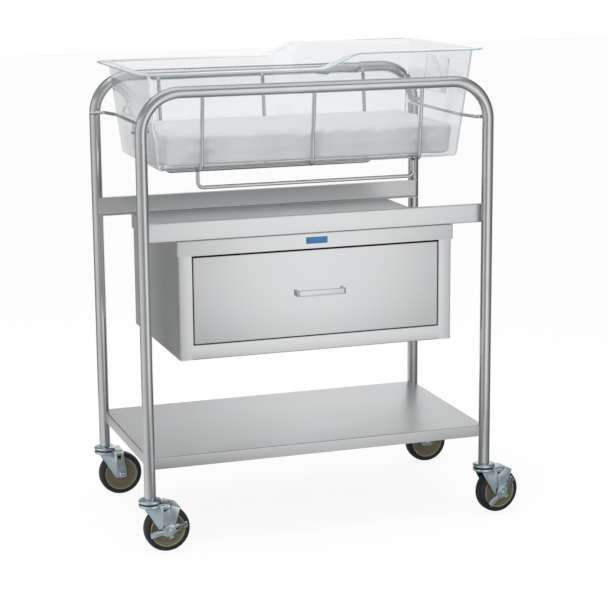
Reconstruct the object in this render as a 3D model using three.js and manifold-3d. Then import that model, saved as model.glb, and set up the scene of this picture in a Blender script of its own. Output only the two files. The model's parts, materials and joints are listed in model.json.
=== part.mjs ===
// Hospital bassinet: clear tub in a wire cradle on a bent-tube trolley with a drawer cabinet, a shelf
// and four swivel casters. Millimetres, +Z up, floor at z = 0, drawer side facing -Y, head end at +X.
import * as THREE from 'three';
import { mergeVertices } from 'three/addons/utils/BufferGeometryUtils.js';
import Module from 'manifold-3d';

const wasm = await Module();
wasm.setup();

// Trolley frame
const legSpacingX = 787.4;
const legSpacingY = 438.15;
const tubeDiameter = 25.4;
const tubeWall = 1.5;
const topTubeHeight = 995;
const cornerBend = 86;
const sheet = 1.5;
const sheetBend = 1.5;
const weldGap = 0.3;

// Cabinet rails and lower shelf
const railBottom = 677.4;
const railHeight = 41.3;
const railTopFlange = 12.7;
const railBottomFlange = 19;
const shelfTop = 209.2;
const shelfEdge = 25.4;

// Cabinet carcass and its hemmed cover
const cabinetWidth = 628.6;
const cabinetInset = 15.875;
const stileWidth = 30.4;
const stileReturn = 15;
const bottomRailHeight = 32.3;
const coverLip = 33.3;
const coverHem = 3;

// Drawer
const drawerReveal = 1.5;
const drawerTopGap = 3.9;
const drawerFrontHeight = 190.5;
const drawerFrontDepth = 14;
const drawerFrontLip = 24;
const drawerWallHeight = 150;
const drawerWallLift = 8;
const drawerBackSpace = 22;
const pullWidth = 112;
const pullProjection = 32;
const pullHeight = 11;
const pullThickness = 6;
const pullRise = 8;

// Telescopic slides
const slideThickness = 12.7;
const slideHeight = 45;
const slidePlay = 0.4;
const slideDrop = 10;
const slideBackSpace = 8;
const bracketHeight = 58;

// Wire cradle
const rodDiameter = 8;
const rodBend = 12;
const hangerSpacing = 250;
const hangerDepth = 169;
const hangerGap = 2;
const hangerEndDrop = 2;
const dropWireSpacing = 272;
const dropWireDepth = 42;
const endWireRise = 88;
const endWireTail = 15;
const endWireLap = 20;
const endWireSpan = 300;
const endWireGap = 1;

// Tub
const tubEndSpace = 51.7;
const tubSideSpace = 55;
const tubWall = 3;
const tubDraft = 6.2;
const tubCorner = 8;
const tubFloorFillet = 6;
const rimHeight = 210;
const rimStep = 31.5;
const rimStepStart = 6;
const rimStepRun = 90;
const rimEndFlange = 28.7;
const rimSideFlange = 35.2;
const rimCorner = 46;
const cardWidth = 137;
const cardHeight = 82;
const cardSlot = 1.6;
const cardSkin = 1.5;
const cardBelowRim = 34;

// Mattress
const mattressThickness = 64;
const mattressCrown = 3;
const mattressCrownRun = 110;
const mattressEndGap = 3;
const mattressCorner = 14;

// Casters
const wheelDiameter = 101.6;
const treadWidth = 31.75;
const coreDiameter = 78;
const hubDiameter = 27;
const casterLead = 34.9;
const casterTopSpace = 19.4;
const raceDiameter = 51;
const raceHeight = 9;
const raceSlot = 2;
const crownHeight = 7;
const stemReach = 38;
const forkPlate = 2.5;
const forkSide = 2.6;
const forkToeIn = 2.2;
const forkFoot = 8;
const runningGap = 0.3;
const axleDiameter = 9.5;
const axleHeadDiameter = 15;
const axleHeadLength = 5;
const yokePlate = 2;
const shoeClearance = 3.5;
const leverPlate = 3.5;
const leverReach = 43;
const leverBoss = 26;
const leverArm = 12;
const leverSlot = 4;
const leverTread = 20;
const leverTip = 8;
const leverFlange = 4.5;
const corners = [
  { name: 'front_left', sx: -1, sy: -1, yaw: 0, brake: 12 },
  { name: 'front_right', sx: 1, sy: -1, yaw: 9, brake: 42 },
  { name: 'rear_left', sx: -1, sy: 1, yaw: 0, brake: null },
  { name: 'rear_right', sx: 1, sy: 1, yaw: 0, brake: null },
];

// Facets
const tubeSides = 12;
const rodSides = 8;
const bendSteps = 6;
const rodBendSteps = 4;
const turnedSides = 16;
const wheelSides = 20;
const cornerSteps = 5;

const radians = THREE.MathUtils.degToRad;
const paint = (color, roughness, metalness) =>
  new THREE.MeshStandardMaterial({ color, roughness, metalness });
const stainless = paint(0xb4b6b7, 0.35, 1);
const wire = paint(0xa9abad, 0.25, 1);
const zinc = paint(0xb9c6cc, 0.3, 1);
const rubber = paint(0x2c2e31, 0.75, 0);
const hubPlastic = paint(0x6c6650, 0.6, 0);
const clear = paint(0xdbe6ec, 0.08, 0);
const cotton = paint(0xdde3e8, 0.9, 0);

const bassinet = new THREE.Group();

function piece(name, geometry, material, parent = bassinet) {
  const mesh = new THREE.Mesh(geometry, material);
  mesh.name = name;
  parent.add(mesh);
  return mesh;
}

// Closed triangles with shared corners, slivers left out and faces turned outward
function solid(geometry) {
  const bare = new THREE.BufferGeometry();
  const loose = geometry.index ? geometry.toNonIndexed() : geometry;
  bare.setAttribute('position', loose.getAttribute('position').clone());
  const merged = mergeVertices(bare, 1e-4);
  const points = merged.getAttribute('position');
  const ids = merged.index.array;
  const [a, b, c] = [0, 1, 2].map(() => new THREE.Vector3());
  const faces = [];
  let volume = 0;
  for (let i = 0; i < ids.length; i += 3) {
    const [p, q, r] = ids.subarray(i, i + 3);
    if (p === q || q === r || r === p) continue;
    faces.push([p, q, r]);
    volume += a.fromBufferAttribute(points, p).dot(
      b.fromBufferAttribute(points, q).cross(c.fromBufferAttribute(points, r)));
  }
  const triVerts = new Uint32Array(faces.flatMap(([p, q, r]) => (volume < 0 ? [p, r, q] : [p, q, r])));
  return new wasm.Manifold(new wasm.Mesh({ numProp: 3, vertProperties: points.array, triVerts }));
}

function geometryOf(body) {
  const mesh = body.getMesh();
  const geometry = new THREE.BufferGeometry();
  geometry.setAttribute('position', new THREE.BufferAttribute(mesh.vertProperties, 3));
  geometry.setIndex(new THREE.BufferAttribute(mesh.triVerts, 1));
  return geometry;
}

const clean = (geometry) => geometryOf(solid(geometry));
const join = (first, ...rest) => geometryOf(rest.reduce((body, g) => body.add(solid(g)), solid(first)));
const cut = (first, ...rest) => geometryOf(rest.reduce((body, g) => body.subtract(solid(g)), solid(first)));
const meet = (first, second) => geometryOf(solid(first).intersect(solid(second)));

// Closed outline from corners [x, y, radius], each radius rounding its own corner
function outline(points) {
  const shape = new THREE.Shape();
  points.forEach(([x, y, radius = 0], i) => {
    const here = new THREE.Vector2(x, y);
    if (radius <= 0) {
      if (i === 0) shape.moveTo(x, y);
      else shape.lineTo(x, y);
      return;
    }
    const [back, ahead] = [points.at(i - 1), points[(i + 1) % points.length]]
      .map(([px, py]) => new THREE.Vector2(px, py).sub(here).normalize());
    const half = back.angleTo(ahead) / 2;
    const centre = back.clone().add(ahead).setLength(radius / Math.sin(half)).add(here);
    const [from, to] = [back, ahead]
      .map((way) => way.clone().multiplyScalar(radius / Math.tan(half)).add(here).sub(centre).angle());
    shape.absarc(centre.x, centre.y, radius, from, to, back.cross(ahead) > 0);
  });
  return shape;
}

const rectangle = (x0, y0, x1, y1, radius = 0) =>
  outline([[x0, y0, radius], [x1, y0, radius], [x1, y1, radius], [x0, y1, radius]]);

// Folded sheet seen on edge: the face line is given, the sheet lies left of it for a positive thickness
function foldedStrip(face, thickness, insideRadius) {
  const line = face.map(([x, y]) => new THREE.Vector2(x, y));
  const way = line.slice(1).map((point, i) => point.clone().sub(line[i]).normalize());
  const inner = line.map((point, i) => {
    const before = way[Math.max(i - 1, 0)];
    const after = way[Math.min(i, way.length - 1)];
    const mitre = before.clone().add(after).normalize();
    const shift = new THREE.Vector2(-mitre.y, mitre.x).multiplyScalar(thickness / mitre.dot(after));
    return point.clone().add(shift);
  });
  const radius = (i, onFace) => {
    if (i === 0 || i === line.length - 1) return 0;
    const turnsToSheet = Math.sign(way[i - 1].cross(way[i])) === Math.sign(thickness);
    return turnsToSheet === onFace ? insideRadius + Math.abs(thickness) : insideRadius;
  };
  const there = line.map((point, i) => [point.x, point.y, radius(i, true)]);
  const back = inner.map((point, i) => [point.x, point.y, radius(i, false)]).reverse();
  return outline([...there, ...back]);
}

// Outline pulled into a solid centred on its own plane; xz is drawn as seen from the front
const [axisX, axisY, axisZ] = [[1, 0, 0], [0, 1, 0], [0, 0, 1]].map((v) => new THREE.Vector3(...v));
const planes = {
  xy: new THREE.Matrix4(),
  yz: new THREE.Matrix4().makeBasis(axisY, axisZ, axisX),
  xz: new THREE.Matrix4().makeBasis(axisX, axisZ, axisY.clone().negate()),
};

function pull(shape, plane, depth, centre = [0, 0, 0], curveSegments = 1) {
  const geometry = new THREE.ExtrudeGeometry(shape, { depth, bevelEnabled: false, curveSegments });
  return geometry.translate(0, 0, -depth / 2).applyMatrix4(planes[plane]).translate(...centre);
}

// Sheet pan with four folded edges, open toward openZ
function pan(halfX, halfY, openZ, closedZ, wall, skin, bend) {
  const up = Math.sign(closedZ - openZ);
  const block = (hx, hy, from, to, radius) => {
    const across = (h) => outline([[-h, from], [h, from], [h, to, radius], [-h, to, radius]]);
    return meet(pull(across(hx), 'xz', 2 * hy), pull(across(hy), 'yz', 2 * hx));
  };
  const hollow = block(halfX - wall, halfY - wall, openZ - up, closedZ - up * skin,
    Math.max(bend - skin, 0.2));
  return cut(block(halfX, halfY, openZ, closedZ, bend), hollow);
}

// Centre line of straight runs joined by equal bends, with stations only where the line turns
class BentPath extends THREE.Curve {
  constructor(points, bend, steps) {
    super();
    this.stations = [points[0]];
    for (let i = 1; i < points.length - 1; i += 1) {
      const [back, ahead] = [points[i - 1], points[i + 1]].map((p) => p.clone().sub(points[i]).normalize());
      const half = back.angleTo(ahead) / 2;
      const centre = back.clone().add(ahead).setLength(bend / Math.sin(half)).add(points[i]);
      const start = back.multiplyScalar(bend / Math.tan(half)).add(points[i]).sub(centre);
      const end = ahead.multiplyScalar(bend / Math.tan(half)).add(points[i]).sub(centre);
      const axis = start.clone().cross(end).normalize();
      for (let k = 0; k <= steps; k += 1) {
        const turn = (start.angleTo(end) * k) / steps;
        this.stations.push(start.clone().applyAxisAngle(axis, turn).add(centre));
      }
    }
    this.stations.push(points.at(-1));
    this.steps = this.stations.length - 1;
  }

  getUtoTmapping(u) {
    return u;
  }

  getPoint(t, target = new THREE.Vector3()) {
    const i = Math.min(Math.floor(t * this.steps), this.steps - 1);
    return target.lerpVectors(this.stations[i], this.stations[i + 1], t * this.steps - i);
  }
}

function ring(radius, sides) {
  return Array.from({ length: sides }, (_, i) => {
    const turn = (2 * Math.PI * (i + 0.5)) / sides;
    return new THREE.Vector2(radius * Math.cos(turn), radius * Math.sin(turn));
  });
}

function bentTube(points, bend, steps, radius, bore, sides) {
  const shape = new THREE.Shape(ring(radius, sides));
  if (bore > 0) shape.holes.push(new THREE.Path(ring(bore, sides).reverse()));
  const extrudePath = new BentPath(points.map((p) => new THREE.Vector3(...p)), bend, steps);
  return clean(new THREE.ExtrudeGeometry(shape, { steps: extrudePath.steps, extrudePath }));
}

const rod = (points) => bentTube(points, rodBend, rodBendSteps, rodDiameter / 2, 0, rodSides);

// Turned piece: profile of [radius, height], about Z or, lying down, about Y
function turned(profile, axis = 'z', sides = turnedSides) {
  const points = profile.map(([r, h]) => new THREE.Vector2(r, h));
  const geometry = new THREE.LatheGeometry(points, sides, Math.PI / sides);
  return clean(axis === 'z' ? geometry.rotateX(Math.PI / 2) : geometry);
}

// Loft through rings of equal point count, closed at both ends by a fan about each ring's middle
function loft(rings) {
  const count = rings[0].length;
  const middle = (points) => points.reduce((sum, p) => sum.add(p), new THREE.Vector3()).divideScalar(count);
  const points = [...rings.flat(), middle(rings[0]), middle(rings.at(-1))];
  const last = (rings.length - 1) * count;
  const faces = [];
  for (let i = 0; i < count; i += 1) {
    const next = (i + 1) % count;
    for (let k = 0; k < last; k += count) {
      faces.push(k + i, k + next, k + count + i, k + next, k + count + next, k + count + i);
    }
    faces.push(points.length - 2, next, i, points.length - 1, last + i, last + next);
  }
  const geometry = new THREE.BufferGeometry().setFromPoints(points);
  geometry.setIndex(faces);
  return clean(geometry);
}

// Round-cornered ring whose plan may depend on the height that level(x) gives at each place
function roundedRing(plan, level, stops = []) {
  const points = [];
  for (const [sx, sy, start] of [[1, 1, 0], [-1, 1, 90], [-1, -1, 180], [1, -1, 270]]) {
    const z = level(sx * Infinity);
    const { x, y, r } = plan(z);
    for (let k = 0; k <= cornerSteps; k += 1) {
      const turn = radians(start + (90 * k) / cornerSteps);
      points.push(new THREE.Vector3(
        sx * (x - r) + r * Math.cos(turn), sy * (y - r) + r * Math.sin(turn), z));
    }
    if (sx * sy > 0) {
      const along = sy > 0 ? stops.toReversed() : stops;
      points.push(...along.map((s) => new THREE.Vector3(s, sy * plan(level(s)).y, level(s))));
    }
  }
  return points;
}

// Levels shared by several pieces
const flat = (radius, sides) => radius * Math.cos(Math.PI / sides);
const tubeRadius = tubeDiameter / 2;
const rodRadius = rodDiameter / 2;
const legX = legSpacingX / 2;
const legY = legSpacingY / 2;
const innerFaceY = legY - flat(tubeRadius, tubeSides) - weldGap;
const casterHeight = wheelDiameter + casterTopSpace;
const cabinetTop = railBottom - weldGap;
const drawerFrontTop = cabinetTop - coverLip - drawerTopGap;
const drawerFrontBottom = drawerFrontTop - drawerFrontHeight;
const cabinetBottom = drawerFrontBottom - drawerReveal - bottomRailHeight;
const cabinetX = cabinetWidth / 2;
const cabinetY = legY - cabinetInset;
const carcassTop = cabinetTop - sheet - sheetBend;
const openingX = cabinetX - stileWidth;
const sides = [['left', -1], ['right', 1]];
const ends = [['front', -1], ['rear', 1]];

// Bent-tube end frames, one along each long side
for (const [name, side] of ends) {
  const y = side * legY;
  const points = [[-legX, y, casterHeight], [-legX, y, topTubeHeight], [legX, y, topTubeHeight],
    [legX, y, casterHeight]];
  const tube = bentTube(points, cornerBend, bendSteps, tubeRadius, tubeRadius - tubeWall, tubeSides);
  piece(`${name}_frame_tube`, tube, stainless);
}

// Channel rails that carry the cabinet, webs against the inner side of the legs
for (const [name, side] of ends) {
  const web = side * innerFaceY;
  const top = railBottom + railHeight;
  const face = [[web - side * railTopFlange, top], [web, top], [web, railBottom],
    [web - side * railBottomFlange, railBottom]];
  const profile = foldedStrip(face, -side * sheet, sheetBend);
  piece(`${name}_rail`, clean(pull(profile, 'yz', legSpacingX)), stainless);
}

// Lower shelf, a pan with turned-down edges whose corners are notched round the legs
{
  const shelf = pan(legX, legY, shelfTop - shelfEdge, shelfTop, sheet, sheet, sheet + sheetBend);
  const notch = new THREE.Shape(ring(tubeRadius + 2 * weldGap, tubeSides));
  const notches = corners.map(({ sx, sy }) =>
    pull(notch, 'xy', 4 * shelfEdge, [sx * legX, sy * legY, shelfTop]));
  piece('lower_shelf', cut(shelf, ...notches), stainless);
}

// Cabinet: wrapped sides and back with folded stiles, a floor with the bottom rail, and a hemmed cover
{
  const front = -cabinetY;
  const stileEnd = front + stileReturn;
  const wrap = foldedStrip([[-openingX, stileEnd], [-openingX, front], [-cabinetX, front],
    [-cabinetX, cabinetY], [cabinetX, cabinetY], [cabinetX, front], [openingX, front],
    [openingX, stileEnd]], -sheet, sheetBend);
  const height = carcassTop - cabinetBottom;
  piece('cabinet_shell', clean(pull(wrap, 'xy', height, [0, 0, cabinetBottom + height / 2])), stainless);

  const railTop = cabinetBottom + bottomRailHeight;
  const floorFront = stileEnd + weldGap;
  const floorBack = cabinetY - sheet - weldGap;
  const rail = foldedStrip([[stileEnd, railTop], [front, railTop], [front, cabinetBottom],
    [floorFront + stileReturn, cabinetBottom]], sheet, sheetBend);
  const floorHalf = cabinetX - sheet - weldGap;
  const floorCorner = sheet + sheetBend;
  const floor = outline([[-floorHalf, floorFront], [floorHalf, floorFront],
    [floorHalf, floorBack, floorCorner], [-floorHalf, floorBack, floorCorner]]);
  piece('cabinet_floor', join(
    pull(rail, 'yz', 2 * (openingX - weldGap)),
    pull(floor, 'xy', sheet, [0, 0, cabinetBottom + sheet / 2])), stainless);

  const lipOut = weldGap + coverHem;
  const cover = pan(cabinetX + lipOut, cabinetY + lipOut, cabinetTop - coverLip, cabinetTop,
    coverHem, sheet, sheet + sheetBend);
  piece('cabinet_cover', cover, stainless);
}

// Telescopic slides on spacer channels, each member nested in the one outside it
const drawerFrontMiddle = (drawerFrontTop + drawerFrontBottom) / 2;
const drawerFrontBack = -cabinetY + drawerFrontDepth;
const slideFront = -cabinetY + stileReturn + weldGap;
const slideBack = cabinetY - sheet - slideBackSpace;
const slideZ = drawerFrontMiddle - slideDrop;
const memberStep = sheet + slidePlay;
for (const [name, side] of sides) {
  const channel = (backX, openX, height, y0, y1) => {
    const face = [[openX, height / 2], [backX, height / 2], [backX, -height / 2], [openX, -height / 2]];
    const toward = Math.sign(backX - openX);
    const profile = foldedStrip(face.map(([x, z]) => [side * x, z]), -side * toward * sheet, 0.4);
    return clean(pull(profile, 'xz', y1 - y0, [0, (y0 + y1) / 2, slideZ]));
  };
  const wallX = cabinetX - sheet - weldGap;
  const bracket = channel(openingX + weldGap, wallX, bracketHeight, slideFront, cabinetY - sheet - sheetBend);
  piece(`slide_bracket_${name}`, bracket, stainless);

  const drawerSide = openingX - slideThickness;
  const outer = channel(openingX, drawerSide + 2 * slidePlay, slideHeight, slideFront, slideBack);
  piece(`slide_outer_${name}`, outer, zinc);
  const middle = channel(openingX - memberStep, drawerSide + 2 * slidePlay + memberStep / 2,
    slideHeight - 2 * memberStep, slideFront, slideBack);
  piece(`slide_middle_${name}`, middle, zinc);
  const inner = channel(drawerSide, openingX - 2 * memberStep, slideHeight - 4 * memberStep,
    slideFront, slideBack);
  piece(`slide_inner_${name}`, inner, zinc);
}

// Drawer: folded tray between the slides with two end panels, hollow pan front and a flat bar pull
{
  const halfX = openingX - drawerReveal;
  const halfZ = drawerFrontHeight / 2;
  const boxX = openingX - slideThickness - weldGap;
  const boxFront = drawerFrontBack + weldGap;
  const boxBack = cabinetY - drawerBackSpace;
  const boxBottom = drawerFrontBottom + drawerWallLift;
  const boxTop = boxBottom + drawerWallHeight;
  const tray = foldedStrip([[-boxX, boxTop], [-boxX, boxBottom], [boxX, boxBottom], [boxX, boxTop]],
    sheet, sheetBend);
  const trayEnd = sheet + weldGap;
  const length = boxBack - boxFront - 2 * trayEnd;
  piece('drawer_box', clean(pull(tray, 'xz', length, [0, boxFront + trayEnd + length / 2, 0])), stainless);
  const panel = outline([[-boxX, boxBottom, sheetBend], [boxX, boxBottom, sheetBend], [boxX, boxTop],
    [-boxX, boxTop]]);
  for (const [name, y] of [['front', boxFront + sheet / 2], ['back', boxBack - sheet / 2]]) {
    piece(`drawer_panel_${name}`, clean(pull(panel, 'xz', sheet, [0, y, 0])), stainless);
  }

  const skin = pan(halfX, halfZ, 0, drawerFrontDepth, sheet, sheet, sheet + sheetBend);
  const lip = rectangle(-halfX, -halfZ, halfX, halfZ);
  const [innerX, innerZ] = [halfX - drawerFrontLip, halfZ - drawerFrontLip];
  lip.holes.push(rectangle(-innerX, -innerZ, innerX, innerZ));
  const front = join(skin.applyMatrix4(planes.xz), pull(lip, 'xz', sheet, [0, -sheet / 2, 0]));
  piece('drawer_front', front.translate(0, drawerFrontBack, drawerFrontMiddle), stainless);

  const base = -cabinetY - weldGap;
  const grip = base - pullProjection;
  const bar = foldedStrip([[-pullWidth / 2, base], [-pullWidth / 2, grip], [pullWidth / 2, grip],
    [pullWidth / 2, base]], pullThickness, pullThickness / 3);
  const pullGeometry = clean(pull(bar, 'xy', pullHeight, [0, 0, drawerFrontMiddle + pullRise], 2));
  piece('drawer_pull', pullGeometry, wire);
}

// Tub walls lean out by one draft angle; the wires that hold the tub follow them
const lean = Math.tan(radians(tubDraft));
const tubFloorHeight = topTubeHeight - hangerDepth;
const tubBaseX = legX - tubEndSpace;
const tubBaseY = legY - tubSideSpace;
const wallX = (z) => tubBaseX + lean * (z - tubFloorHeight);
const wallY = (z) => tubBaseY + lean * (z - tubFloorHeight);
const pocketDepth = cardSkin + cardSlot;

// Wire hangers across the cradle: from tube to tube, down both sides and under the tub
const runHeight = tubFloorHeight - weldGap - flat(rodRadius, rodSides);
['foot', 'middle', 'head'].forEach((name, i) => {
  const x = (i - 1) * hangerSpacing;
  const endZ = topTubeHeight - hangerEndDrop;
  const reach = (z) => wallY(z) + hangerGap + rodRadius;
  const half = [[innerFaceY, endZ], [reach(endZ), endZ], [reach(runHeight), runHeight]];
  const points = [...half.map(([y, z]) => [x, -y, z]), ...half.toReversed().map(([y, z]) => [x, y, z])];
  piece(`hanger_${name}`, rod(points), wire);
});

// Drop wires hung lengthwise from the first and last hanger
for (const [name, side] of ends) {
  const y = (side * dropWireSpacing) / 2;
  const top = runHeight - flat(rodRadius, rodSides) - weldGap;
  const low = runHeight - dropWireDepth;
  const x = hangerSpacing;
  piece(`drop_wire_${name}`, rod([[-x, y, top], [-x, y, low], [x, y, low], [x, y, top]]), wire);
}

// End wires bowed in from the legs to steady the tub at foot and head, clear of the card pocket
const endWireHeight = tubFloorHeight + endWireRise;
for (const [name, side] of [['foot', -1], ['head', 1]]) {
  const tailX = side * (legX + endWireTail);
  const lapX = side * (legX - endWireLap);
  const crossX = side * (wallX(endWireHeight) + pocketDepth + rodRadius + endWireGap);
  const tailY = innerFaceY - flat(rodRadius, rodSides);
  const half = [[tailX, tailY], [lapX, tailY], [crossX, endWireSpan / 2]];
  const points = [...half.map(([x, y]) => [x, -y, endWireHeight]),
    ...half.toReversed().map(([x, y]) => [x, y, endWireHeight])];
  piece(`end_wire_${name}`, rod(points), wire);
}

// Clear tub: thin drafted shell with a flat rim that steps up toward the head end
{
  const rimLow = tubFloorHeight + rimHeight;
  const eased = 0.2;
  const ramp = (t) => {
    if (t < eased) return t ** 2 / (2 * eased * (1 - eased));
    if (t > 1 - eased) return 1 - (1 - t) ** 2 / (2 * eased * (1 - eased));
    return (t - eased / 2) / (1 - eased);
  };
  const rim = (x) => rimLow + rimStep * ramp(THREE.MathUtils.clamp((x - rimStepStart) / rimStepRun, 0, 1));
  const stops = [0, eased / 2, eased, 1 - eased, 1 - eased / 2, 1].map((t) => rimStepStart + t * rimStepRun);
  const wall = (offset) => (z) => ({
    x: wallX(z) + offset, y: wallY(z) + offset, r: Math.max(tubCorner + offset, 1) });
  const rimEdge = () => ({ x: wallX(rimLow) + rimEndFlange, y: wallY(rimLow) + rimSideFlange, r: rimCorner });
  const at = (plan, level) => roundedRing(plan, level, stops);
  const floorRings = (offset, floor, fillet) => [0, 30, 60, 90].map((turn) => {
    const inset = fillet * (1 - Math.sin(radians(turn)));
    const z = floor + fillet * (1 - Math.cos(radians(turn)));
    return at(wall(offset - inset), () => z);
  });
  const outside = floorRings(0, tubFloorHeight, tubFloorFillet);
  const inside = floorRings(-tubWall, tubFloorHeight + tubWall, tubFloorFillet - tubWall).reverse();
  const neck = tubWall;
  const shell = loft([...outside,
    at(wall(0), (x) => rim(x) - tubWall - neck),
    at(wall(neck), (x) => rim(x) - tubWall),
    at(rimEdge, (x) => rim(x) - tubWall),
    at(rimEdge, rim),
    at(wall(neck), rim),
    at(wall(0), (x) => rim(x) - neck / 3),
    at(wall(-tubWall), (x) => rim(x) - neck - tubWall / 2),
    ...inside]);
  piece('tub', shell, clear);

  // Card pocket on the outside of the head wall: a thin cover with three closed edges, open at the top
  const middleZ = rimLow + rimStep - cardBelowRim - cardHeight / 2;
  const [halfW, halfH, edge] = [cardWidth / 2, cardHeight / 2, pocketDepth];
  const pocket = cut(
    pull(rectangle(-halfW, -halfH, halfW, halfH), 'xy', pocketDepth, [0, 0, pocketDepth / 2]),
    pull(rectangle(-halfW + edge, -halfH + edge, halfW - edge, cardHeight), 'xy', cardSlot * 2));
  const up = axisZ.clone().applyAxisAngle(axisY, radians(tubDraft));
  const out = axisY.clone().cross(up);
  const onWall = new THREE.Matrix4().makeBasis(axisY, up, out);
  const seat = new THREE.Vector3(wallX(middleZ), 0, middleZ).addScaledVector(out, weldGap);
  piece('card_pocket', pocket.applyMatrix4(onWall.setPosition(seat)), clear);
}

// Mattress: crowned pad with its sides drawn in under the sheet
{
  const bottom = tubFloorHeight + tubWall + weldGap;
  const plan = (inset) => () => ({
    x: tubBaseX - tubWall - mattressEndGap - inset,
    y: tubBaseY - tubWall - mattressEndGap - inset,
    r: Math.max(mattressCorner - inset, 2),
  });
  const side = [[10, 0], [4, 0.05], [1, 0.16], [0, 0.45], [0.4, 0.8], [2, 0.92], [6, 0.98], [13, 1]];
  const crown = [[mattressCrownRun * 0.55, 0.6], [mattressCrownRun, 1]];
  const level = (share) => () => bottom + mattressThickness * share;
  const rings = side.map(([inset, share]) => roundedRing(plan(inset), level(share)));
  const top = crown.map(([inset, share]) =>
    roundedRing(plan(inset), () => bottom + mattressThickness + mattressCrown * share));
  piece('mattress', loft([...rings, ...top]), cotton);
}

// Caster pieces, drawn about the swivel axis with the wheel trailing toward +X
const wheelRadius = wheelDiameter / 2;
const treadHalf = treadWidth / 2;
const forkInner = treadHalf + forkSide;
const forkOuter = forkInner + forkPlate;
const raceRadius = raceDiameter / 2;
const raceTop = casterHeight - weldGap;
const raceBottom = raceTop - raceHeight;
const crownTop = raceBottom - raceSlot;
const crownBottom = crownTop - crownHeight;
const axleRadius = axleDiameter / 2;
const axleHole = axleRadius + runningGap;

function stemGeometry() {
  const plug = tubeRadius - tubeWall - weldGap - 0.4;
  const neck = raceRadius - 6;
  return turned([[0, casterHeight + stemReach], [plug - 2, casterHeight + stemReach],
    [plug, casterHeight + stemReach - 3], [plug, raceTop], [tubeRadius + 3, raceTop],
    [raceRadius - 3, raceTop - raceHeight * 0.3], [raceRadius, raceTop - raceHeight * 0.65],
    [raceRadius - 1.5, raceBottom], [neck, raceBottom], [neck, crownTop + runningGap],
    [0, crownTop + runningGap]]);
}

// Pressed fork: raceway crown, top plate, and two cheeks toed in toward the crown and tapered to the axle
function forkGeometry() {
  const toe = raceRadius / 2;
  const bendX = casterLead * 0.45;
  const heel = casterLead + axleRadius * 3;
  const footX = casterLead + forkFoot + axleRadius;
  const foot = wheelRadius - forkFoot;
  const top = crownTop - 1;
  const cheekSide = outline([[-toe, top], [-toe, crownBottom], [casterLead - forkFoot - axleRadius, foot, 3],
    [footX, foot, 7], [heel - 8, top]]);
  const hole = rectangle(casterLead - 9, top - 15, casterLead, top - 4);
  const axleCut = new THREE.Shape(ring(axleHole, 12));
  const plates = [-1, 1].map((s) => {
    const bentFace = [[-toe, forkOuter - forkToeIn], [bendX, forkOuter], [heel + 2, forkOuter]];
    const strip = foldedStrip(bentFace.map(([x, y]) => [x, s * y]), -s * forkPlate, forkPlate);
    const height = crownTop - foot + 2;
    const sheetSide = pull(strip, 'xy', height, [0, 0, foot - 1 + height / 2]);
    return meet(sheetSide, pull(cheekSide, 'xz', 4 * forkOuter, [0, 0, 0], 2));
  });
  const plate = outline([[-2, -forkOuter + 1], [heel - 8, -forkOuter + 1, 3], [heel - 8, forkOuter - 1, 3],
    [-2, forkOuter - 1]]);
  const crown = turned([[0, crownBottom], [raceRadius - 5, crownBottom], [raceRadius - 1, crownBottom + 2.5],
    [raceRadius, crownBottom + crownHeight * 0.5], [raceRadius - 2, crownTop], [0, crownTop]]);
  const body = join(crown, pull(plate, 'xy', forkPlate, [0, 0, top - forkPlate / 2], 2), ...plates);
  return cut(body, pull(hole, 'xz', 4 * forkOuter),
    pull(axleCut, 'xz', 4 * forkOuter, [casterLead, 0, wheelRadius]));
}

function coreGeometry() {
  const rimRadius = coreDiameter / 2;
  const hubRadius = hubDiameter / 2;
  const hubHalf = forkInner - runningGap;
  const rimHalf = treadHalf - 1.5;
  const half = [[axleHole, hubHalf], [hubRadius, hubHalf], [hubRadius + 1.5, rimHalf - 4],
    [rimRadius * 0.62, rimHalf - 4], [rimRadius * 0.66, rimHalf - 6], [rimRadius - 6, rimHalf - 6],
    [rimRadius - 4, rimHalf], [rimRadius, rimHalf]];
  const mirrored = half.toReversed().map(([r, h]) => [r, -h]);
  return turned([...half, ...mirrored, half[0]].reverse(), 'y', wheelSides);
}

function tyreGeometry() {
  const inner = coreDiameter / 2 + runningGap;
  const half = [[inner, treadHalf - 1], [inner + 4, treadHalf], [wheelRadius - 4, treadHalf - 2],
    [wheelRadius - 1, treadHalf - 6], [wheelRadius, treadHalf - 10]];
  const mirrored = half.toReversed().map(([r, h]) => [r, -h]);
  return turned([...half, ...mirrored, half[0]].reverse(), 'y', wheelSides);
}

function axleGeometry(stack) {
  const headRadius = axleHeadDiameter / 2;
  const seat = forkOuter + runningGap + stack;
  const half = [[axleRadius, seat], [headRadius, seat], [headRadius, seat + axleHeadLength * 0.6],
    [headRadius * 0.75, seat + axleHeadLength], [0, seat + axleHeadLength]];
  return turned([...half.map(([r, h]) => [r, -h]).reverse(), ...half], 'y', 12);
}

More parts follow.
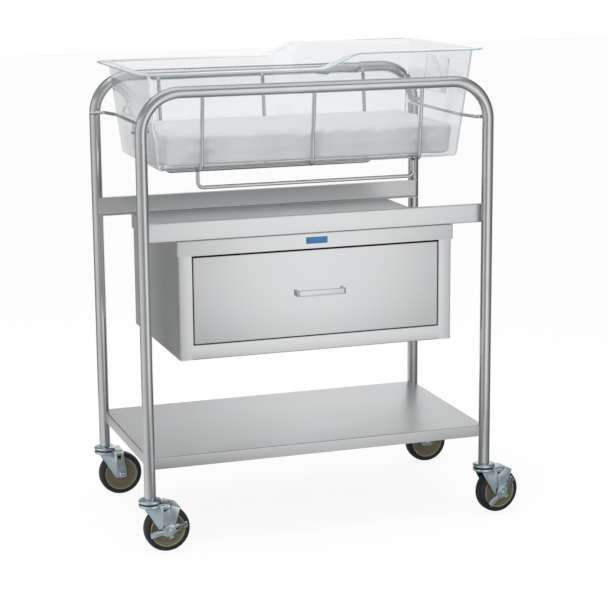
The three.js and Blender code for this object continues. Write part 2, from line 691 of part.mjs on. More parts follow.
// Brake yoke: two plates on the axle, joined over the tread by the curved brake shoe
function yokeGeometry() {
  const inside = forkOuter + runningGap;
  const outside = inside + yokePlate;
  const shoeInner = wheelRadius + shoeClearance;
  const shoeOuter = shoeInner + yokePlate;
  const at = (radius, degrees) => [radius * Math.cos(radians(degrees)), radius * Math.sin(radians(degrees))];
  const [from, to] = [62, 76];
  const [eye, lug] = [axleRadius * 2, shoeInner * 0.8];
  const cheek = outline([[-forkFoot, -eye, 3], [forkFoot + 2, -eye, 3], [forkFoot + 8, axleRadius * 3],
    at(shoeOuter, from), at(shoeOuter, to), [forkFoot / 2, lug + 4], [-forkFoot - 3, lug, 2]]);
  const shoe = new THREE.Shape();
  shoe.absarc(0, 0, shoeOuter, radians(from), radians(to), false);
  shoe.absarc(0, 0, shoeInner, radians(to), radians(from), true);
  const plates = [-1, 1].map((s) => pull(cheek, 'xz', yokePlate, [0, (s * (inside + outside)) / 2, 0]));
  const body = join(pull(shoe, 'xz', 2 * outside, [0, 0, 0], 3), ...plates);
  return cut(body, pull(new THREE.Shape(ring(axleHole, 12)), 'xz', 4 * outside));
}

// Brake lever: rocker plate with a boss at the axle and its foot edges turned back over the wheel's side
function leverGeometry() {
  const back = -(forkOuter + 2 * runningGap + yokePlate);
  const y = back - leverPlate / 2;
  const [boss, waist, arm] = [leverBoss / 2, leverBoss / 2 + 3, leverArm / 2];
  const top = boss * 0.7;
  const rocker = outline([[-leverReach, -arm, 2], [-waist, -arm], [-top, -boss, 4], [top, -boss, 4],
    [waist, -arm], [leverReach, -arm, 3], [leverReach, arm, 3], [waist, arm], [top, boss, 4],
    [-top, boss, 4], [-waist, arm], [-leverReach, arm, 2]]);
  const slot = rectangle(waist + arm, -leverSlot / 2, leverReach - leverSlot, leverSlot / 2, leverSlot / 4);
  const treads = [[1 - leverReach, leverTread - leverReach], [leverReach - leverTip, leverReach - 1]];
  const flanges = treads.map(([from, to]) => {
    const profile = rectangle(from, arm - leverPlate / 2, to, arm + leverPlate / 8);
    return pull(profile, 'xz', leverFlange + leverPlate, [0, back + (leverFlange - leverPlate) / 2, 0]);
  });
  const body = join(pull(rocker, 'xz', leverPlate, [0, y, 0], 2), ...flanges);
  return cut(body, pull(slot, 'xz', 4 * leverPlate, [0, y, 0]),
    pull(new THREE.Shape(ring(axleHole, 12)), 'xz', 4 * leverPlate, [0, y, 0]));
}

for (const { name, sx, sy, yaw, brake } of corners) {
  const caster = new THREE.Group();
  caster.position.set(sx * legX, sy * legY, 0);
  caster.rotation.z = radians(yaw);
  bassinet.add(caster);
  const axle = new THREE.Group();
  axle.position.set(casterLead, 0, wheelRadius);
  caster.add(axle);
  const braked = brake !== null;
  piece(`caster_stem_${name}`, stemGeometry(), zinc, caster);
  piece(`caster_fork_${name}`, forkGeometry(), zinc, caster);
  piece(`wheel_core_${name}`, coreGeometry(), hubPlastic, axle);
  piece(`tyre_${name}`, tyreGeometry(), rubber, axle);
  const stack = braked ? yokePlate + leverPlate + 2 * runningGap : 0;
  piece(`axle_${name}`, axleGeometry(stack), zinc, axle);
  if (braked) {
    piece(`brake_yoke_${name}`, yokeGeometry(), zinc, axle);
    piece(`brake_lever_${name}`, leverGeometry(), zinc, axle).rotation.y = -radians(brake);
  }
}

// Origin on the floor under the middle of the whole piece
const extent = new THREE.Box3().setFromObject(bassinet, true);
const middle = extent.getCenter(new THREE.Vector3());
bassinet.position.set(-middle.x, -middle.y, -extent.min.z);

export default bassinet;
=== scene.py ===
import json
from math import atan2, cos, degrees, hypot, pi, radians, sin, tan

import bmesh
import bpy
from mathutils import Matrix, Vector, noise


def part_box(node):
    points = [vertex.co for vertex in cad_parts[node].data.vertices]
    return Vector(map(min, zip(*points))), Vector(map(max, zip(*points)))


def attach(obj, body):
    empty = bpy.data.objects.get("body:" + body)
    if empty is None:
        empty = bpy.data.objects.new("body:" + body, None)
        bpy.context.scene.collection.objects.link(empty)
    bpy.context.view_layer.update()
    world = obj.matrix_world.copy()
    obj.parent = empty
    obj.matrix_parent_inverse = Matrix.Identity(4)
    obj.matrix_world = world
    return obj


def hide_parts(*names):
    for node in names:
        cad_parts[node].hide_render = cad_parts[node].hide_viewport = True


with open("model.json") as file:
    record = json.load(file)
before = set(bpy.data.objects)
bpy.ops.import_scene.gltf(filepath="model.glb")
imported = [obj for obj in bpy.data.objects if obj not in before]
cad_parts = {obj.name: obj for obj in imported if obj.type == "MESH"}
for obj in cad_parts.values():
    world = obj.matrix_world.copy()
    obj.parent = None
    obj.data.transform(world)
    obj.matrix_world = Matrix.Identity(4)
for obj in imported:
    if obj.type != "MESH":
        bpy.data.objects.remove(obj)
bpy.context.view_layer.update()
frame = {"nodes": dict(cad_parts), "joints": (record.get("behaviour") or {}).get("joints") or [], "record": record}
mm = 0.001
tubFloor = 826.0  # mm above the ground
joints = {joint["name"]: joint for joint in frame["joints"]}
bodyOf = {node: body for body, nodes in frame["record"]["behaviour"]["bodies"].items() for node in nodes}
casterNames = [name[len("swivel_"):] for name in joints if name.startswith("swivel_")]
legFoot = {name: Vector(joints["swivel_" + name]["pos_m"]) for name in casterNames}
home = sum(legFoot.values(), Vector()) / len(legFoot)  # pieces are drawn in mm about the middle of the legs
home.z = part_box("tub")[0].z - tubFloor * mm
atHome = Matrix.Translation(home) @ Matrix.Scale(mm, 4)
print("frame loaded:", len(frame["nodes"]), "nodes")


def linear(hexColour):
    parts = [int(hexColour[i:i + 2], 16) / 255 for i in (1, 3, 5)]
    return [c / 12.92 if c <= 0.04045 else ((c + 0.055) / 1.055) ** 2.4 for c in parts] + [1]


def addNode(tree, kind, sockets=None, **settings):
    node = tree.nodes.new(kind)
    for name, value in settings.items():
        setattr(node, name, value)
    for name, value in (sockets or {}).items():
        if isinstance(value, bpy.types.NodeSocket):
            tree.links.new(value, node.inputs[name])
        else:
            node.inputs[name].default_value = value
    return node


# A material with its tree, its shader and the place on the piece that patterns follow
def newMaterial(name, **constants):
    material = bpy.data.materials.new(name)
    material.use_nodes = True
    tree = material.node_tree
    shader = tree.nodes["Principled BSDF"]
    for socket, value in constants.items():
        shader.inputs[socket.replace("_", " ")].default_value = value
    return material, tree, shader, addNode(tree, "ShaderNodeTexCoord").outputs["Object"]


def noiseOver(tree, place, scale, detail, **more):
    sockets = {"Vector": place, "Scale": scale, "Detail": detail, **more}
    return addNode(tree, "ShaderNodeTexNoise", sockets).outputs[0]


def ranged(tree, value, low, high, start=0, end=1):
    return addNode(tree, "ShaderNodeMapRange", {"Value": value, "From Min": start, "From Max": end,
                                                "To Min": low, "To Max": high}).outputs[0]


def maths(tree, operation, *values, **settings):
    return addNode(tree, "ShaderNodeMath", dict(enumerate(values)), operation=operation, **settings).outputs[0]


def tinted(tree, share, dark, light):
    return addNode(tree, "ShaderNodeMix", {0: share, 6: linear(dark), 7: linear(light)},
                   data_type="RGBA").outputs[2]


def bumped(tree, height, strength, depth):
    return addNode(tree, "ShaderNodeBump", {"Height": height, "Strength": strength, "Distance": depth}).outputs[0]


def plugIn(tree, shader, **outputs):
    for socket, output in outputs.items():
        tree.links.new(output, shader.inputs[socket.replace("_", " ")])


# Number 4 finish on 304 stainless sheet: a belt leaves fine parallel scratches, so the sheet is satin, with faint
# lines along its grain and broad soft reflections. Real scratches lie 0.1 mm apart; drawn 1.6 mm so they show.
def brushedSheet(name, grain, light="#DADBDB", dark="#CFD0D2"):
    material, tree, shader, place = newMaterial(name, Metallic=1)
    spacing, run = 1 / (1.6 * mm), 1 / 0.35
    across = [run if axis == grain else spacing for axis in "xyz"]
    stretched = addNode(tree, "ShaderNodeMapping", {"Vector": place, "Scale": across}).outputs[0]
    lines = noiseOver(tree, stretched, 1, 3, Roughness=0.6)
    both = maths(tree, "MULTIPLY_ADD", lines, 0.3, noiseOver(tree, place, 4.5, 2))
    plugIn(tree, shader, Base_Color=tinted(tree, ranged(tree, both, 0, 1, 0.43, 0.88), dark, light),
           Roughness=ranged(tree, both, 0.3, 0.38, 0.43, 0.88), Normal=bumped(tree, lines, 0.035, 0.12 * mm))
    return material


# Drawn and polished stainless: a near-mirror sheen with faint scuffs, so a straight bar carries sharp light and
# dark stripes along its length. Scuffs drawn at 2 mm to show.
def polishedBar(name, light, dark, smoothest, roughest):
    material, tree, shader, place = newMaterial(name, Metallic=1)
    scuffs = noiseOver(tree, place, 1 / (2 * mm), 2)
    both = maths(tree, "MULTIPLY_ADD", scuffs, 0.4, noiseOver(tree, place, 9, 3))
    plugIn(tree, shader, Base_Color=tinted(tree, ranged(tree, both, 0, 1, 0.45, 0.95), dark, light),
           Roughness=ranged(tree, both, smoothest, roughest, 0.45, 0.95),
           Normal=bumped(tree, scuffs, 0.015, 0.1 * mm))
    return material


# Bright zinc on pressed steel with a blue passivate: a cool, slightly cloudy metal with faint
# patches some 16 mm wide.
def platedSteel(name):
    material, tree, shader, place = newMaterial(name, Metallic=1)
    clouds = noiseOver(tree, place, 1 / (16 * mm), 1)
    plugIn(tree, shader, Base_Color=tinted(tree, ranged(tree, clouds, 0, 1, 0.3, 0.7), "#BCCBD1", "#CAD8DE"),
           Roughness=ranged(tree, clouds, 0.16, 0.26, 0.3, 0.7), Normal=bumped(tree, clouds, 0.015, 0.1 * mm))
    return material


# Moulded thermoplastic rubber tread: near black, dull, greyed by dust, with a fine mould texture of 0.6 mm
# that is drawn at 1.6 mm so it shows.
def mouldedRubber(name):
    material, tree, shader, place = newMaterial(name, IOR=1.5)
    pits, dust = noiseOver(tree, place, 1 / (1.6 * mm), 2), noiseOver(tree, place, 60, 4)
    plugIn(tree, shader, Base_Color=tinted(tree, ranged(tree, dust, 0, 1, 0.35, 0.75), "#171A1D", "#25292D"),
           Roughness=ranged(tree, dust, 0.42, 0.62), Normal=bumped(tree, pits, 0.15, 0.2 * mm))
    return material


# Moulded nylon wheel core: olive brown, satin, with faint paler rings round the axle and a painted highlight, a paler
# band on the raised rim at its outer edge. The colour follows the distance from the axle, which each core carries as
# its own attribute in mm.
def mouldedNylon(name):
    material, tree, shader, place = newMaterial(name, IOR=1.53)
    radius = addNode(tree, "ShaderNodeAttribute", attribute_name="fromAxle").outputs["Fac"]
    speck = noiseOver(tree, place, 1 / (2.5 * mm), 3)
    # the band 34.5 to 35.5 mm from the axle is painted paler: a painted highlight on the raised rim
    rim = ranged(tree, radius, 0, 1, 34.5, 35.5)
    bands = maths(tree, "MULTIPLY_ADD", maths(tree, "SINE", radius), 0.16, rim)
    paler = maths(tree, "MULTIPLY_ADD", speck, 0.3, bands, use_clamp=True)
    plugIn(tree, shader, Base_Color=tinted(tree, paler, "#767159", "#A59F86"),
           Roughness=ranged(tree, speck, 0.34, 0.5), Normal=bumped(tree, speck, 0.06, 0.2 * mm))
    return material


# Vacuum-formed clear acrylic: glass-clear across its 3 mm wall and pale blue where the eye looks along the
# sheet, at the rim and the corners; forming leaves the faintest waviness.
def formedAcrylic(name):
    material, tree, shader, place = newMaterial(name, IOR=1.49, Transmission_Weight=1, Base_Color=linear("#F7F8F9"))
    waves, wipes = noiseOver(tree, place, 1 / (45 * mm), 1), noiseOver(tree, place, 14, 4)
    inner = addNode(tree, "ShaderNodeLightPath").outputs["Glossy Depth"]  # light caught inside leaves at last
    escape = maths(tree, "LESS_THAN", inner, 1.5)
    plugIn(tree, shader, Roughness=ranged(tree, wipes, 0, 0.07), Normal=bumped(tree, waves, 0.1, 0.3 * mm),
           Alpha=escape)
    depth = addNode(tree, "ShaderNodeVolumeAbsorption", {"Color": linear("#D2E3EB"), "Density": 9})
    plugIn(tree, tree.nodes["Material Output"], Volume=depth.outputs[0])
    return material


# Flame-polished acrylic edge, painted pale blue for the light that runs along the sheet and comes out here, so the edge
# reads as a pale blue line, a little uneven where the flame passed.
def paintedGlowEdge(name):
    material, tree, shader, place = newMaterial(name, IOR=1.49, Transmission_Weight=0.3)
    passes = noiseOver(tree, place, 1 / (30 * mm), 2)
    plugIn(tree, shader, Base_Color=tinted(tree, passes, "#A3C9DA", "#D3E6EE"),
           Roughness=ranged(tree, passes, 0.12, 0.3))
    return material


# Woven cotton fitted sheet: matt white with a cool cast, a soft bloom at grazing angles and a plain weave.
# Threads are 0.35 mm apart; the weave is drawn at 2.2 mm so it shows.
def wovenCotton(name):
    material, tree, shader, place = newMaterial(name, Roughness=0.92, IOR=1.45, Sheen_Weight=0.25,
                                                Sheen_Roughness=0.5)
    threads = [addNode(tree, "ShaderNodeTexWave", {"Vector": place, "Scale": 1 / (2.2 * mm) / 20, "Distortion": 0.6,
                                                   "Detail": 1, "Detail Scale": 3},
                       bands_direction=axis).outputs["Fac"] for axis in "XY"]
    weave = maths(tree, "MULTIPLY", *threads)
    share = maths(tree, "MULTIPLY_ADD", weave, 0.2, noiseOver(tree, place, 16, 3))
    plugIn(tree, shader, Base_Color=tinted(tree, share, "#DADDDF", "#E8EAEC"),
           Normal=bumped(tree, weave, 0.05, 0.25 * mm))
    return material


# Blue anodised aluminium, satin: an even dyed colour over a fine etched grain of 0.5 mm, drawn at 1.2 mm.
def anodisedPlate(name):
    material, tree, shader, place = newMaterial(name, Metallic=0.6)
    etch = noiseOver(tree, place, 1 / (1.2 * mm), 2)
    plugIn(tree, shader, Base_Color=tinted(tree, etch, "#3B6EA8", "#5C8CC2"), Roughness=ranged(tree, etch, 0.3, 0.45))
    return material


sheetAlong = brushedSheet("brushed_stainless_sheet_lengthwise", "x")
# The shelf takes the same sheet painted darker: a painted shade for the low shelf
shadedShelfSheet = brushedSheet("brushed_stainless_shelf_sheet_painted_shade", "x", "#CACBCB", "#C1C2C4")
sheetUpright = brushedSheet("brushed_stainless_sheet_upright", "z", "#D6D7D8", "#CACCCD")
tubeSteel = polishedBar("polished_stainless_tube", "#CBCCCD", "#BDBEC0", 0.16, 0.22)
wireSteel = polishedBar("drawn_stainless_wire", "#D2D3D4", "#C0C1C2", 0.14, 0.2)
weldSteel = polishedBar("brushed_stainless_weld", "#BDBBB7", "#8F8D8A", 0.25, 0.45)
zincSteel = platedSteel("bright_zinc_plated_steel")
treadRubber = mouldedRubber("moulded_rubber_tread")
coreNylon = mouldedNylon("moulded_nylon_core")
clearSheet = formedAcrylic("vacuum_formed_clear_acrylic")
glowPaintedEdge = paintedGlowEdge("flame_polished_acrylic_edge_painted_glow")
sheetCotton = wovenCotton("woven_cotton_sheet")
bluePlate = anodisedPlate("blue_anodised_aluminium")
print("materials ready")


def addObject(name, bm, material):
    mesh = bpy.data.meshes.new(name)
    bm.to_mesh(mesh)
    bm.free()
    mesh.materials.append(material)
    obj = bpy.data.objects.new(name, mesh)
    bpy.context.scene.collection.objects.link(obj)
    return obj


def faceOut(bm):
    bmesh.ops.recalc_face_normals(bm, faces=bm.faces)


def moveAll(bm, shift):
    bmesh.ops.translate(bm, verts=bm.verts, vec=shift)


def addPiece(name, bm, material, body, nodes=(), place=atHome):
    bmesh.ops.remove_doubles(bm, verts=bm.verts, dist=0.005)
    faceOut(bm)
    bm.transform(place)
    obj = addObject(name, bm, material)
    obj.data.shade_smooth()
    obj.data.set_sharp_from_angle(angle=radians(32))
    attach(obj, body)
    if nodes:
        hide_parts(*nodes)
    return obj


def onlyVerts(geom):
    return [part for part in geom if isinstance(part, bmesh.types.BMVert)]


def onlyFaces(geom):
    return [part for part in geom if isinstance(part, bmesh.types.BMFace)]


def extrudeFaces(bm, faces, shift):
    made = bmesh.ops.extrude_face_region(bm, geom=faces)["geom"]
    bmesh.ops.translate(bm, verts=onlyVerts(made), vec=shift)
    return onlyFaces(made)


def addBlock(bm, size, centre):
    bmesh.ops.create_cube(bm, size=1)
    bmesh.ops.scale(bm, verts=bm.verts, vec=size)
    moveAll(bm, centre)


def roundEdges(bm, edges, width, segments, clamp=False):
    bmesh.ops.bevel(bm, geom=edges, offset=width, offset_type="OFFSET", segments=segments, profile=0.5,
                    affect="EDGES", material=-1, clamp_overlap=clamp)


def softenEdges(bm, width, segments=2, sharper=40):
    edges = [e for e in bm.edges if len(e.link_faces) == 2 and e.calc_face_angle() > radians(sharper)]
    roundEdges(bm, edges, width, segments, clamp=True)


def uprightEdges(bm):
    return [e for e in bm.edges if abs(e.verts[0].co.z - e.verts[1].co.z) > 1]


def cutAcross(bm, at, way, **options):
    bmesh.ops.bisect_plane(bm, geom=bm.verts[:] + bm.edges[:] + bm.faces[:], plane_co=at, plane_no=way, **options)


# A section pulled along straight runs with a round bend at every corner, closed at both ends
def bentBar(bm, section, points, bend, steps=8):
    points = [Vector(p) for p in points]
    faces, tip = [section], points[0]
    for i, corner in enumerate(points[1:], 1):
        if i == len(points) - 1:
            extrudeFaces(bm, faces, corner - tip)
            break
        back, ahead = (points[i - 1] - corner).normalized(), (points[i + 1] - corner).normalized()
        half = back.angle(ahead) / 2
        start = corner + back * (bend / tan(half))
        centre = corner + (back + ahead).normalized() * (bend / sin(half))
        faces = extrudeFaces(bm, faces, start - tip)
        turned = bmesh.ops.spin(bm, geom=faces, cent=centre, axis=ahead.cross(back).normalized(),
                                angle=pi - 2 * half, steps=steps)
        faces = onlyFaces(turned["geom_last"])
        tip = corner + ahead * (bend / tan(half))
    faceOut(bm)
    return bm


def roundBar(points, bend, radius, sides=24, steps=8):
    bm = bmesh.new()
    along = (Vector(points[1]) - Vector(points[0])).normalized()
    turn = Vector((0, 0, 1)).rotation_difference(along).to_matrix().to_4x4()
    bmesh.ops.create_circle(bm, cap_ends=True, segments=sides, radius=radius,
                            matrix=Matrix.Translation(points[0]) @ turn)
    return bentBar(bm, bm.faces[:][0], points, bend, steps)


# The flat section is drawn in x and y, then turned to face along the first run
def flatBar(size, points, bend, steps, turn=Matrix.Identity(3)):
    bm = bmesh.new()
    bmesh.ops.create_grid(bm, x_segments=1, y_segments=1, size=0.5)
    bmesh.ops.scale(bm, verts=bm.verts, vec=(*size, 1))
    bmesh.ops.rotate(bm, verts=bm.verts, cent=(0, 0, 0), matrix=turn)
    moveAll(bm, points[0])
    return bentBar(bm, bm.faces[:][0], points, bend, steps)


# A half outline of radius and height turned once round the upright axis
def spun(profile, steps=48, closed=False, lying=False):
    bm = bmesh.new()
    verts = [bm.verts.new((r, 0, h)) for r, h in profile]
    edges = [bm.edges.new(pair) for pair in zip(verts, verts[1:] + (verts[:1] if closed else []))]
    bmesh.ops.spin(bm, geom=verts + edges, cent=(0, 0, 0), axis=(0, 0, 1), angle=2 * pi, steps=steps,
                   use_merge=True)
    bmesh.ops.remove_doubles(bm, verts=bm.verts, dist=0.005)
    faceOut(bm)
    if lying:
        bmesh.ops.rotate(bm, verts=bm.verts, cent=(0, 0, 0), matrix=Matrix.Rotation(pi / 2, 3, "X"))
    return bm


def appendMesh(bm, other, place=Matrix()):
    other.transform(place)
    loose = bpy.data.meshes.new("loose")
    other.to_mesh(loose)
    other.free()
    bm.from_mesh(loose)
    bpy.data.meshes.remove(loose)


def placed(x, y, z, turn=0):
    return Matrix.Translation((x, y, z)) @ Matrix.Rotation(turn, 4, "X")


# A flat outline in x and z, pulled to the given thickness toward -y, its corners rounded by their radii
def flatPlate(outline, thickness, soft):
    bm = bmesh.new()
    face = bm.faces.new([bm.verts.new((x, 0, z)) for x, z, _ in outline])
    extrudeFaces(bm, [face], Vector((0, -thickness, 0)))
    for x, z, radius in outline:
        if radius:
            upright = [e for e in bm.edges if all(hypot(v.co.x - x, v.co.z - z) < 0.01 for v in e.verts)]
            roundEdges(bm, upright, radius, 5, clamp=True)
    faceOut(bm)
    softenEdges(bm, soft)
    return bm


# Camera at the photograph's place
view = dict(lens=111.38, azimuth=-18.635, elevation=11.932, roll=-0.458, distance=4336.0,
            target=(35.27, 0, 475.4))
az, el, roll = (radians(view[key]) for key in ("azimuth", "elevation", "roll"))
back = Vector((sin(az) * cos(el), -cos(az) * cos(el), sin(el)))
right = Vector((0, 0, 1)).cross(back).normalized()
up = back.cross(right)
level = Matrix((right * cos(roll) + up * sin(roll), up * cos(roll) - right * sin(roll), back)).transposed()
camera = bpy.data.objects.new("camera", bpy.data.cameras.new("camera"))
camera.data.lens = view["lens"]
camera.data.sensor_width = 36
camera.matrix_world = Matrix.Translation(atHome @ (Vector(view["target"]) + back * view["distance"])) @ level.to_4x4()
scene = bpy.context.scene
scene.collection.objects.link(camera)
scene.camera = camera
scene.view_settings.view_transform = "Standard"


# 1 for rays that end in the eye, straight or by way of metal and acrylic, and 0 for those that only light
def seenByEye(tree):
    path = addNode(tree, "ShaderNodeLightPath").outputs
    mirrored = maths(tree, "MAXIMUM", path["Is Glossy Ray"], path["Is Transmission Ray"])
    return maths(tree, "MAXIMUM", path["Is Camera Ray"], mirrored)


# White studio: the world shows white to the eye and in reflections, and lights the piece more gently
studio = dict(fill=0.46, floorShade=0.16, floorGlow=1.07, floorSize=14, floorDrop=-1.2 * mm)
scene.world = bpy.data.worlds.new("studio")
scene.world.use_nodes = True
tree = scene.world.node_tree
sky = tree.nodes["Background"]
plugIn(tree, sky, Strength=ranged(tree, seenByEye(tree), studio["fill"], 1))
sky.inputs["Color"].default_value = (1, 1, 1, 1)


def addLamp(name, at, toward, size, power):
    lamp = bpy.data.lights.new(name, "AREA")
    lamp.shape, lamp.size, lamp.size_y = "RECTANGLE", *size
    lamp.energy = power
    obj = bpy.data.objects.new(name, lamp)
    obj.location = at
    obj.rotation_euler = (Vector(toward) - Vector(at)).to_track_quat("-Z", "Y").to_euler()
    obj.visible_camera = obj.visible_glossy = False
    scene.collection.objects.link(obj)


addLamp("overhead_softbox", (-0.3, -0.3, 3.2), (0, 0, 0.6), (2.6, 2.6), 38)
addLamp("front_softbox", (-2.6, -3.2, 2.0), (0, 0, 0.6), (1.2, 2.2), 24)


def bareMaterial(name):
    material = bpy.data.materials.new(name)
    material.use_nodes = True
    material.node_tree.nodes.remove(material.node_tree.nodes["Principled BSDF"])
    return material, material.node_tree


# A white glow of the given strength, mixed by its share with another surface
def glowOver(tree, share, surface, strength):
    glow = addNode(tree, "ShaderNodeEmission", {"Color": (1, 1, 1, 1), "Strength": strength})
    mixed = addNode(tree, "ShaderNodeMixShader", {0: share, 1: surface.outputs[0], 2: glow.outputs[0]})
    plugIn(tree, tree.nodes["Material Output"], Surface=mixed.outputs[0])


def addStage(name, bm, material):
    obj = addObject(name, bm, material)
    return obj


floorPaint, tree = bareMaterial("white_studio_floor")
matt = addNode(tree, "ShaderNodeBsdfDiffuse", {"Color": linear("#F4F4F4")})
glowOver(tree, ranged(tree, seenByEye(tree), 0, 1 - studio["floorShade"]), matt, studio["floorGlow"])
bm = bmesh.new()
bmesh.ops.create_grid(bm, x_segments=1, y_segments=1, size=studio["floorSize"])
moveAll(bm, (0, 0, studio["floorDrop"]))
addStage("studio_floor", bm, floorPaint)

# Reflector round the set, seen in reflections and, weaker, behind the acrylic: bright panels and dark gaps that draw
# lines along the tubes. The walls' shades go by the angle from the camera to its right, and the roof has one bright
# panel. The floor is painted dark under the object, a painted shadow seen in reflections, dimmer before it by rings and
# paler near its left flank.
reflector = dict(radius=1.7, height=0.35, roofFrom=36, backRoofFrom=50, roofDark=0.42, panel=(60, 98), panelHalf=0.55,
                 panelShade=1.0, throughAcrylic=0.6, floor=-0.6 * mm, under=0.25, spread=[(0, 0), (0.35, 0), (0.6, 1)],
                 patch=[(-180, 0), (-30, 0), (0, 1), (60, 1), (90, 0), (180, 0)],
                 flank=[(-180, 0), (-165, 0.85), (-105, 0.85), (-88, 0), (180, 0)], near=[(0, 1), (1.3, 1), (1.5, 0)],
                 rings=[(0, 0.75), (0.82, 0.75), (0.95, 0.58), (1.25, 0.62), (1.5, 1)],
                 walls=[(-180, 1.1), (-165, 0.8), (-146, 0.62), (-129, 0.2), (-116, 0.2), (-98, 0.6), (-78, 0.92),
                        (-50, 0.9), (-30, 0.66), (-12, 0.42), (4, 0.5), (15, 0.98), (26, 1.24), (36, 1.3), (46, 1.12),
                        (56, 0.78), (68, 0.5), (88, 0.26), (118, 0.14), (140, 0.5), (160, 1.0), (180, 1.1)])


def tabled(key, at):
    table = reflector[key]
    (a, low), (b, high) = next((pair for pair in zip(table, table[1:]) if at <= pair[1][0]), (table[-1], table[-1]))
    return low + (high - low) * (at - a) / max(b - a, 1e-6)


bm = bmesh.new()
bmesh.ops.create_uvsphere(bm, u_segments=90, v_segments=48, radius=reflector["radius"])
bmesh.ops.reverse_faces(bm, faces=bm.faces)
shade = bm.verts.layers.float.new("shade")
toCamera = Vector((sin(az), -cos(az), 0))
for v in bm.verts:
    ray = v.co.normalized()
    ahead, beside = ray.dot(toCamera), ray.dot(right)
    turn, climb = degrees(atan2(beside, ahead)), degrees(atan2(ray.z, hypot(ahead, beside)))
    v[shade] = tabled("walls", turn)
    if climb > reflector["roofFrom" if ahead > 0 else "backRoofFrom"]:
        over = degrees(atan2(ray.z, ahead))
        lit = reflector["panel"][0] < over < reflector["panel"][1] and abs(beside) < reflector["panelHalf"]
        v[shade] = reflector["panelShade"] if lit else reflector["roofDark"]
    v.co.z += reflector["height"]
    if v.co.z < reflector["floor"]:  # the lower part lies flat on the floor
        v.co.z = reflector["floor"]
        away = hypot(v.co.x, v.co.y)
        v[shade] *= 1 - (1 - tabled("rings", away)) * tabled("patch", turn)
        v[shade] = max(v[shade], tabled("flank", turn) * tabled("near", away))
        # under the object the floor part is painted dark: a painted shadow
        out = tabled("spread", away)
        v[shade] = v[shade] * out + reflector["under"] * (1 - out)
cardPaint, tree = bareMaterial("shaded_reflector")
path = addNode(tree, "ShaderNodeLightPath").outputs
bounced = maths(tree, "GREATER_THAN", path["Glossy Depth"], 0.5)
dimmed = maths(tree, "MULTIPLY", bounced, reflector["throughAcrylic"])
shown = maths(tree, "MAXIMUM", dimmed, path["Is Reflection Ray"])
tone = addNode(tree, "ShaderNodeAttribute", attribute_name="shade").outputs["Fac"]
glowOver(tree, shown, addNode(tree, "ShaderNodeBsdfTransparent"), tone)
dome = addStage("studio_reflector", bm, cardPaint)
dome.visible_camera = dome.visible_diffuse = dome.visible_shadow = False
print("camera, light and floor set")


def thickened(bm, bend=2.4, thickness=1.5):
    folds = [e for e in bm.edges if len(e.link_faces) == 2 and e.calc_face_angle() > 0.5]
    roundEdges(bm, folds, bend, 5)
    bmesh.ops.solidify(bm, geom=bm.faces[:], thickness=thickness)
    return bm


# Sheet folded along an outline and pulled along its run, rounded at each fold; it thickens inward
def foldedSheet(outline, run, inside):
    bm = bmesh.new()
    verts = [bm.verts.new(point) for point in outline]
    edges = [bm.edges.new(pair) for pair in zip(verts, verts[1:])]
    made = bmesh.ops.extrude_edge_only(bm, edges=edges)["geom"]
    bmesh.ops.translate(bm, verts=onlyVerts(made), vec=run)
    bm.normal_update()
    middle = Vector(inside)
    if sum(f.calc_area() * f.normal.dot(f.calc_center_median() - middle) for f in bm.faces) < 0:
        bmesh.ops.reverse_faces(bm, faces=bm.faces)
    return thickened(bm)


# Pan: a box open on one side, its edges rounded; a lip may turn in round the open side
def foldedPan(low, high, opening, lip=0, clips=(), **sheet):
    bm = bmesh.new()
    addBlock(bm, Vector(high) - Vector(low), (Vector(high) + Vector(low)) / 2)
    bm.normal_update()
    mouth = max(bm.faces, key=lambda f: f.normal.dot(Vector(opening)))
    if lip:
        bmesh.ops.inset_region(bm, faces=[mouth], thickness=lip)
    bmesh.ops.delete(bm, geom=[mouth], context="FACES_ONLY")
    for at, way in clips:
        cutAcross(bm, at, way, clear_outer=True)
    return thickened(bm, **sheet)


# Channel rails and shelf, of 1.5 mm sheet, from leg to leg
frontRear, corners = (("front", -1), ("rear", 1)), [(sx, sy) for sx in (-1, 1) for sy in (-1, 1)]
tube = dict(legX=393.7, legY=219.075, foot=121.0, top=995.0, bend=86.0, radius=12.7)
rail = dict(web=206.5, top=718.7, low=677.4, flangeTop=12.7, flangeLow=19.0)
x, y, top, low = tube["legX"], tube["legY"], rail["top"], rail["low"]
for name, side in frontRear:
    web, upper, lower = (side * (rail["web"] - flange) for flange in (0, rail["flangeTop"], rail["flangeLow"]))
    bm = foldedSheet([(-x, upper, top), (-x, web, top), (-x, web, low), (-x, lower, low)], (2 * x, 0, 0),
                     (0, upper, (top + low) / 2))
    addPiece(name + "_channel_rail", bm, sheetAlong, "frame", [name + "_rail"])
shelf = dict(top=209.2, low=183.8, clip=5.0)
clips = [((sx * (x - shelf["clip"]), sy * (y - shelf["clip"]), 0), (sx, sy, 0)) for sx, sy in corners]
bm = foldedPan((-x, -y, shelf["low"]), (x, y, shelf["top"]), (0, 0, -1), clips=clips)
# the shelf's darker copy of the sheet is painted shade
addPiece("pan_shelf", bm, shadedShelfSheet, "frame", ["lower_shelf"])

